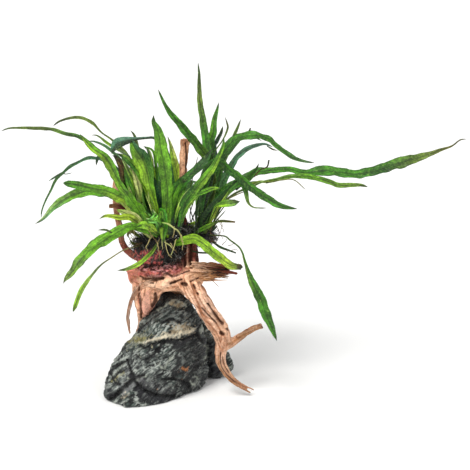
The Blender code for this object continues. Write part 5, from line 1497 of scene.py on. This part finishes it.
def build_stone():
    bm = node_shape("stone")
    rescale(bm, 1 / MM)
    mesh, points, normals = remeshed("stone_dressed", bm, STONE_VOXEL, STONE_SMOOTHINGS)
    places = in_view(points)
    front = np.clip(facing_viewer(points, normals) * FRONT_SHARP, 0, 1)
    back = np.clip(normals[:, 1] * 4, 0, 1)

    # chipped faces, and layers that waver
    bent = [Vector(p) + Vector((0, 0, 5)) * noise.noise(Vector(p) / 26) for p in points]
    middle, edge, face = chips(bent, 12, 5.0, 1.0)
    small, small_edge, small_face = chips(bent, 5.0, 2.2, 0.5, (50, 0, 0))
    height = middle + small + 0.5 * layer_cloud(bent, 5, 1.1)
    height = height - 0.7 * (edge < 0.09) - 0.3 * (small_edge < 0.10)
    streak = layer_cloud(bent, 15, 1.9) + 0.6 * layer_cloud(bent, 6, 1.1)
    streak += 0.4 * layer_cloud(bent, 2.6, 0.8)
    sparse = cloud(points, 6.5, (20, 1, 7))
    ragged = 1 + 0.9 * cloud(points, 2.4) + 0.5 * cloud(points, 1.1)
    # the rock's own tone, lighter along its light layers and in broad patches, with painted light on the
    # higher chips, painted shade in the sunk edges between them, and some chip faces painted lighter and
    # others darker by how they tilt
    light = 0.29 + 0.60 * streak + 0.20 * height + 0.40 * cloud(points, 17, (3, 8, 1))
    colours = layer_colours(np.clip(light + 0.60 * (face + 0.8 * small_face), 0, 1))
    colours = painted(colours, places, front, TONES, 0.55 + 0.45 * ragged)
    # the layers stay visible through the broad tones: painted shade along the low layers, painted glints
    # along the high ones
    colours = mixed(colours, SHADES["stone_deep"], np.clip(5.0 * (-0.07 - streak), 0, 0.92))
    glint = np.clip(5.0 * (streak - 0.36), 0, 0.70) * (0.45 + 0.55 * front)
    colours = mixed(colours, SHADES["stone_light"], glint)
    # thin light lines, painted highlights, and thin dark rifts, sunk and darkened with painted shade, run
    # along the layers
    crest = np.clip(ridges(layer_cloud(bent, 7.5, 1.9), 6) * 1.6, 0, 1)
    crest *= np.clip(0.25 + 2.6 * sparse, 0, 0.85) * (0.5 + 0.5 * front)
    colours = mixed(colours, SHADES["stone_light"], crest)
    rift = np.clip(ridges(layer_cloud(bent, 8, 2.4, (9, 30, 4)), 7) * 1.6, 0, 1)
    rift *= np.clip(0.45 - 2.2 * sparse, 0, 0.95)
    colours = mixed(colours, SHADES["stone_deep"], rift)
    colours = painted(colours, places, front, DEEPS, 0.55 + 0.45 * ragged)
    broken = np.clip(1.9 - 1.1 * ragged, 0.25, 1)
    colours = painted(colours, places, front * broken, VEINS, ragged)
    colours = painted(colours, points[:, [0, 2]], back, BACK_VEINS, ragged)

    sunk = np.zeros(len(points))
    for route, (half_width, deep) in CRACKS:
        profile = hollow_profile(places, route, half_width * CRACK_WIDEN) * front
        profile *= np.clip(ragged, 0.4, 1)
        sunk = np.maximum(sunk, deep * profile)
        # painted shade in each groove, darkest where it is sunk deepest
        colours = mixed(colours, SHADES["crack"], np.clip(profile * 1.5, 0, 0.95))
    # the resting face stays flat, and nothing goes below it
    low = np.clip(points[:, 2] / FLAT_FOOT, 0, 1)
    points += normals * (((height - 0.5) * RELIEF + STONE_SWELL - 0.7 * rift) * low)[:, None]
    points += np.array(VIEW_AHEAD) * (sunk * low)[:, None]
    points[:, 2] = np.maximum(points[:, 2], 0)
    place_dressed("stone_dressed", mesh, points, colours, stone_material(), "stone", "stone")


# ---------------------------------------------------------------- rhizomes, hairs and roots

CORE_VOXEL = 1.4
CORE_SMOOTHINGS = 4
HAIR_SIDES = 3
HAIR_STEPS = 9
HAIR_RADII = (0.22, 0.42)
HAIR_SAG = Vector((0, 0, -0.10))
MAT_REACH = 1.18  # hairs further from a mat's middle than this many half-sizes are drawn back
MAT_SLACK = 0.35  # and this share of what they stray beyond it stays
MOSTLY_BARE, BARE_SKIPS = 0.3, 0.8  # where more bare than the one, this share of hairs is left out
HAIR_TAPER, THREAD_TAPER = 0.75, 0.45  # share of the radius that is lost on the way
THREAD_STEP = 1.2
# Each mat: its side, how many hairs, how long they are, and how much they curl
MATS = [
    dict(side="left", hairs=1500, lengths=(7, 17), curl=0.62),
    dict(side="right", hairs=480, lengths=(5, 12), curl=0.75),
]
# Hairs and fibres that run from one mat to the other, round the stick: (across, up, depth)
# of the middle, how far they start from it, and how many
TANGLES = [
    dict(middle=(16, 163, -11), spread=(9, 5, 2), hairs=260, lengths=(6, 12)),
    dict(middle=(10, 149, -9), spread=(4, 15, 3), hairs=240, lengths=(5, 12)),
]
TANGLE_CURL = 0.8
# the last two, light greys, are painted glints on the dark mat; the others are the hairs' own black and
# browns
HAIR_COLOURS = [
    linear(22, 22, 22), linear(30, 28, 26), linear(20, 26, 20), linear(44, 36, 32),
    linear(58, 50, 46), linear(34, 44, 36), linear(84, 84, 80), linear(150, 146, 138),
]

# Single threads and pale roots, in front of the mats: route, radius and shades
THREADS = table("""
-8.3,170.5,-38 -1.7,169,-40 3,165.5,-40 8.5,161.5,-37 11.5,155,-34 12,151,-31 | 0.9 | bright pale pale straw
 straw
4,167,-30 3.6,160,-33 3,155,-33 | 0.5 | straw straw
-7,152,-30 0,147,-33 4,142,-32 | 0.6 | straw pale straw
-8,153,-30 -7.8,148,-32 -7.6,143.4,-31 | 0.5 | pale straw
-17,158,-28 -20,154,-30 -22,151,-29 | 0.5 | straw straw
0,150,-30 4,144,-33 6,140,-32 | 0.5 | straw brown
-24,168,-24 -20,160,-28 -14,152,-30 -12,146,-29 | 0.45 | straw brown
-8,158,-28 -12,150,-31 -11,142,-30 | 0.4 | brown straw
-41,164,-10 -38,156,-14 -41,154,-16 | 0.5 | brown straw
-36,163,-10 -35,156,-14 -38,153,-16 | 0.5 | straw brown
-36,147,-12 -32,149,-14 -28,150,-12 | 0.9 | black brown
-6,156,-31 -4,148,-34 -2,140,-34 2,135,-31 | 0.55 | pale straw straw
6,154,-30 4,146,-34 1,138,-33 | 0.5 | straw pale
11,158,-30 13,150,-32 12,143,-31 | 0.5 | pale straw
-13,151,-30 -11,141,-33 -10,132,-30 | 0.5 | straw brown
-20,154,-28 -24,146,-31 -22,142,-30 | 0.5 | straw straw
# loose, squiggly threads at the right mat
36,170,0 42,168,-6 40,160,-8 46,156,-8 45,149,-6 | 0.5 | black brown black
40,172,2 47,166,-4 49,158,-6 46,151,-4 | 0.45 | brown black
34,166,-2 40,162,-8 46,164,-10 50,160,-9 | 0.45 | black black
44,176,4 50,170,-2 54,160,-4 | 0.4 | straw brown
38,158,-4 42,153,-8 41,146,-6 | 0.5 | black brown
30,152,-8 36,149,-12 42,152,-13 47,150,-12 | 0.45 | black brown
48,174,2 52,168,0 50,160,-4 53,154,-4 | 0.35 | brown brown
# fuzz on the dried blade
52,148,-8 55,151,-9 57,154,-9 | 0.35 | brown black
58,147,-10 62,148,-11 65,151,-11 | 0.35 | brown black
54,145,-9 58,141,-11 | 0.35 | black brown
62,143,-11 66,144,-12 68,142,-12 | 0.35 | brown brown
""")

# The bark that shows below and to the left of these places (up, across) has few hairs
BARE_BELOW = 143
BARE_LEFT = -8


def add_hair(pile, start, way, length, curl, colour):
    """Adds one curling hair."""
    radius = rng.uniform(*HAIR_RADII)
    points = [start]
    for _ in range(HAIR_STEPS):
        way = (way + random_vector() * curl + HAIR_SAG).normalized()
        points.append(points[-1] + way * (length / HAIR_STEPS))
    radii = [radius * (1 - HAIR_TAPER * k / HAIR_STEPS) for k in range(HAIR_STEPS + 1)]
    pile.tube(points, radii, [colour] * len(points), HAIR_SIDES)


def build_core(side, material):
    """The rhizome's lumpy core: its points and normals, and where bare bark shows, 0 to 1."""
    node = "rhizome_" + side
    bm = node_shape(node)
    rescale(bm, 1 / MM)
    core, points, normals = remeshed(node + "_core", bm, CORE_VOXEL, CORE_SMOOTHINGS)
    lumps = cloud(points, 4) + 0.5 * cloud(points, 1.8)
    places = in_view(points)
    bare = np.clip((BARE_BELOW - places[:, 1] + 5 * lumps) / 4, 0, 1)
    bare *= np.clip((BARE_LEFT - places[:, 0] + 6 * lumps) / 4, 0, 1)
    tones = np.outer(1.2 + lumps, HAIR_COLOURS[0])
    for word, where in (("bark", lumps < 1), ("rose", lumps > 0.15), ("purple", lumps < 0.12)):
        tones = mixed(tones, SHADES[word], 0.9 * bare * where)
    lumpy = points + normals * (2.0 * lumps - 1.6)[:, None]
    place_dressed("core_" + side, core, lumpy, tones, material, "rhizome", node)
    return points, normals, bare


def build_mat(mat, material):
    """A core and the hairs over it."""
    points, normals, bare = build_core(mat["side"], material)
    pile = Pile()
    for _ in range(mat["hairs"]):
        i = rng.randrange(len(points))
        if bare[i] > MOSTLY_BARE and rng.random() < BARE_SKIPS:
            continue
        point, normal = Vector(points[i]), Vector(normals[i])
        way = (normal * 0.7 + random_vector()).normalized()
        length = rng.uniform(*mat["lengths"])
        colour = rng.choice(HAIR_COLOURS)
        add_hair(pile, point - normal * rng.uniform(0.5, 2), way, length, mat["curl"], colour)
    # hairs that wander outside the mat are drawn back to it
    centre = Vector(points.mean(axis=0))
    reach = Vector(np.abs(points - points.mean(axis=0)).max(axis=0))
    for k, point in enumerate(pile.points):
        out = point - centre
        stretch = Vector((out.x / reach.x, out.y / reach.y, out.z / reach.z)).length
        if stretch > MAT_REACH:
            pile.points[k] = centre + out * (MAT_REACH + (stretch - MAT_REACH) * MAT_SLACK) / stretch
    pile.place("hairs_" + mat["side"], material, "rhizome")


def build_tangles(material):
    pile = Pile()
    for tangle in TANGLES:
        for _ in range(tangle["hairs"]):
            place = [m + rng.gauss(0, 0.5) * s for m, s in zip(tangle["middle"], tangle["spread"])]
            way = random_vector().normalized()
            colour = rng.choice(HAIR_COLOURS)
            length = rng.uniform(*tangle["lengths"])
            add_hair(pile, seen(*place), way, length, TANGLE_CURL, colour)
    pile.place("hairs_round_stick", material, "rhizome")


def build_threads():
    pile = Pile()
    for route, (radius,), shades in THREADS:
        points = even_points([seen(*p) for p in route], THREAD_STEP)
        last = len(points) - 1
        shaken = 0.9 if radius < 0.9 else 0.3
        crinkled = []
        for p in points:
            shake = Vector([noise.noise(p / 2.6 + Vector((k * 7.1, 0, 0))) for k in range(3)])
            crinkled.append(p + shake * shaken)
        radii = [radius * (1 - THREAD_TAPER * i / last) for i in range(last + 1)]
        pile.tube(crinkled, radii, [shade_along(shades, i / last) for i in range(last + 1)], 6)
    pile.place("roots", fibre_material("fern_roots", 0.6, 0.35), "rhizome")


# ---------------------------------------------------------------- floor, lights and camera

FLOOR_HALF = 8.0  # metres
FLOOR_DROP = -0.0005  # metres, so that it doesn't meet the stone's flat face
SKY_STRENGTH = 0.5


def build_floor():
    bm = bmesh.new()
    bmesh.ops.create_grid(bm, x_segments=1, y_segments=1, size=FLOOR_HALF)
    mesh = bpy.data.meshes.new("floor")
    bm.to_mesh(mesh)
    bm.free()
    floor = linked("floor", mesh)
    floor.location.z = FLOOR_DROP
    mesh.materials.append(Nodes("pale_floor", 0.9, 0.2).finish(linear(250, 250, 250)))


def soft_light(name, place, spread, power, colour):
    """A broad light from far off, in the direction of place, spread over degrees of sky."""
    data = bpy.data.lights.new(name, "SUN")
    data.angle = math.radians(spread)
    data.energy = power
    data.color = colour
    light = linked(name, data)
    light.location = place
    light.rotation_euler = Vector(place).to_track_quat("Z", "Y").to_euler()


def build_lights():
    world = bpy.data.worlds.new("soft studio")
    world.use_nodes = True
    background = world.node_tree.nodes["Background"]
    background.inputs["Color"].default_value = (1, 1, 1, 1)
    background.inputs["Strength"].default_value = SKY_STRENGTH
    bpy.context.scene.world = world
    soft_light("key", (-0.7, -1.0, 1.5), 25, 2.6, (1.0, 0.99, 0.96))
    soft_light("fill", (1.2, -0.9, 0.9), 60, 0.7, (0.97, 0.99, 1.0))


def build_camera():
    data = bpy.data.cameras.new("camera")
    data.angle = 2 * math.atan(VIEW_HALF / VIEW_DISTANCE)
    data.clip_start = 0.05
    camera = linked("camera", data)
    camera.location = EYE * MM
    camera.rotation_euler = (math.pi / 2 - VIEW_TILT, 0, 0)
    bpy.context.scene.camera = camera


# ---------------------------------------------------------------- the whole


def main():
    leaf = leaf_material()
    build_leaves(leaf)
    build_small_leaves(leaf)
    build_crowds(leaf)
    build_wood()
    build_splinters()
    build_stone()
    fibres = fibre_material("rhizome_hairs", 0.5, 0.5)
    for mat in MATS:
        build_mat(mat, fibres)
    build_tangles(fibres)
    build_threads()
    build_floor()
    build_lights()
    build_camera()
    bpy.context.scene.view_settings.view_transform = "Standard"


main()
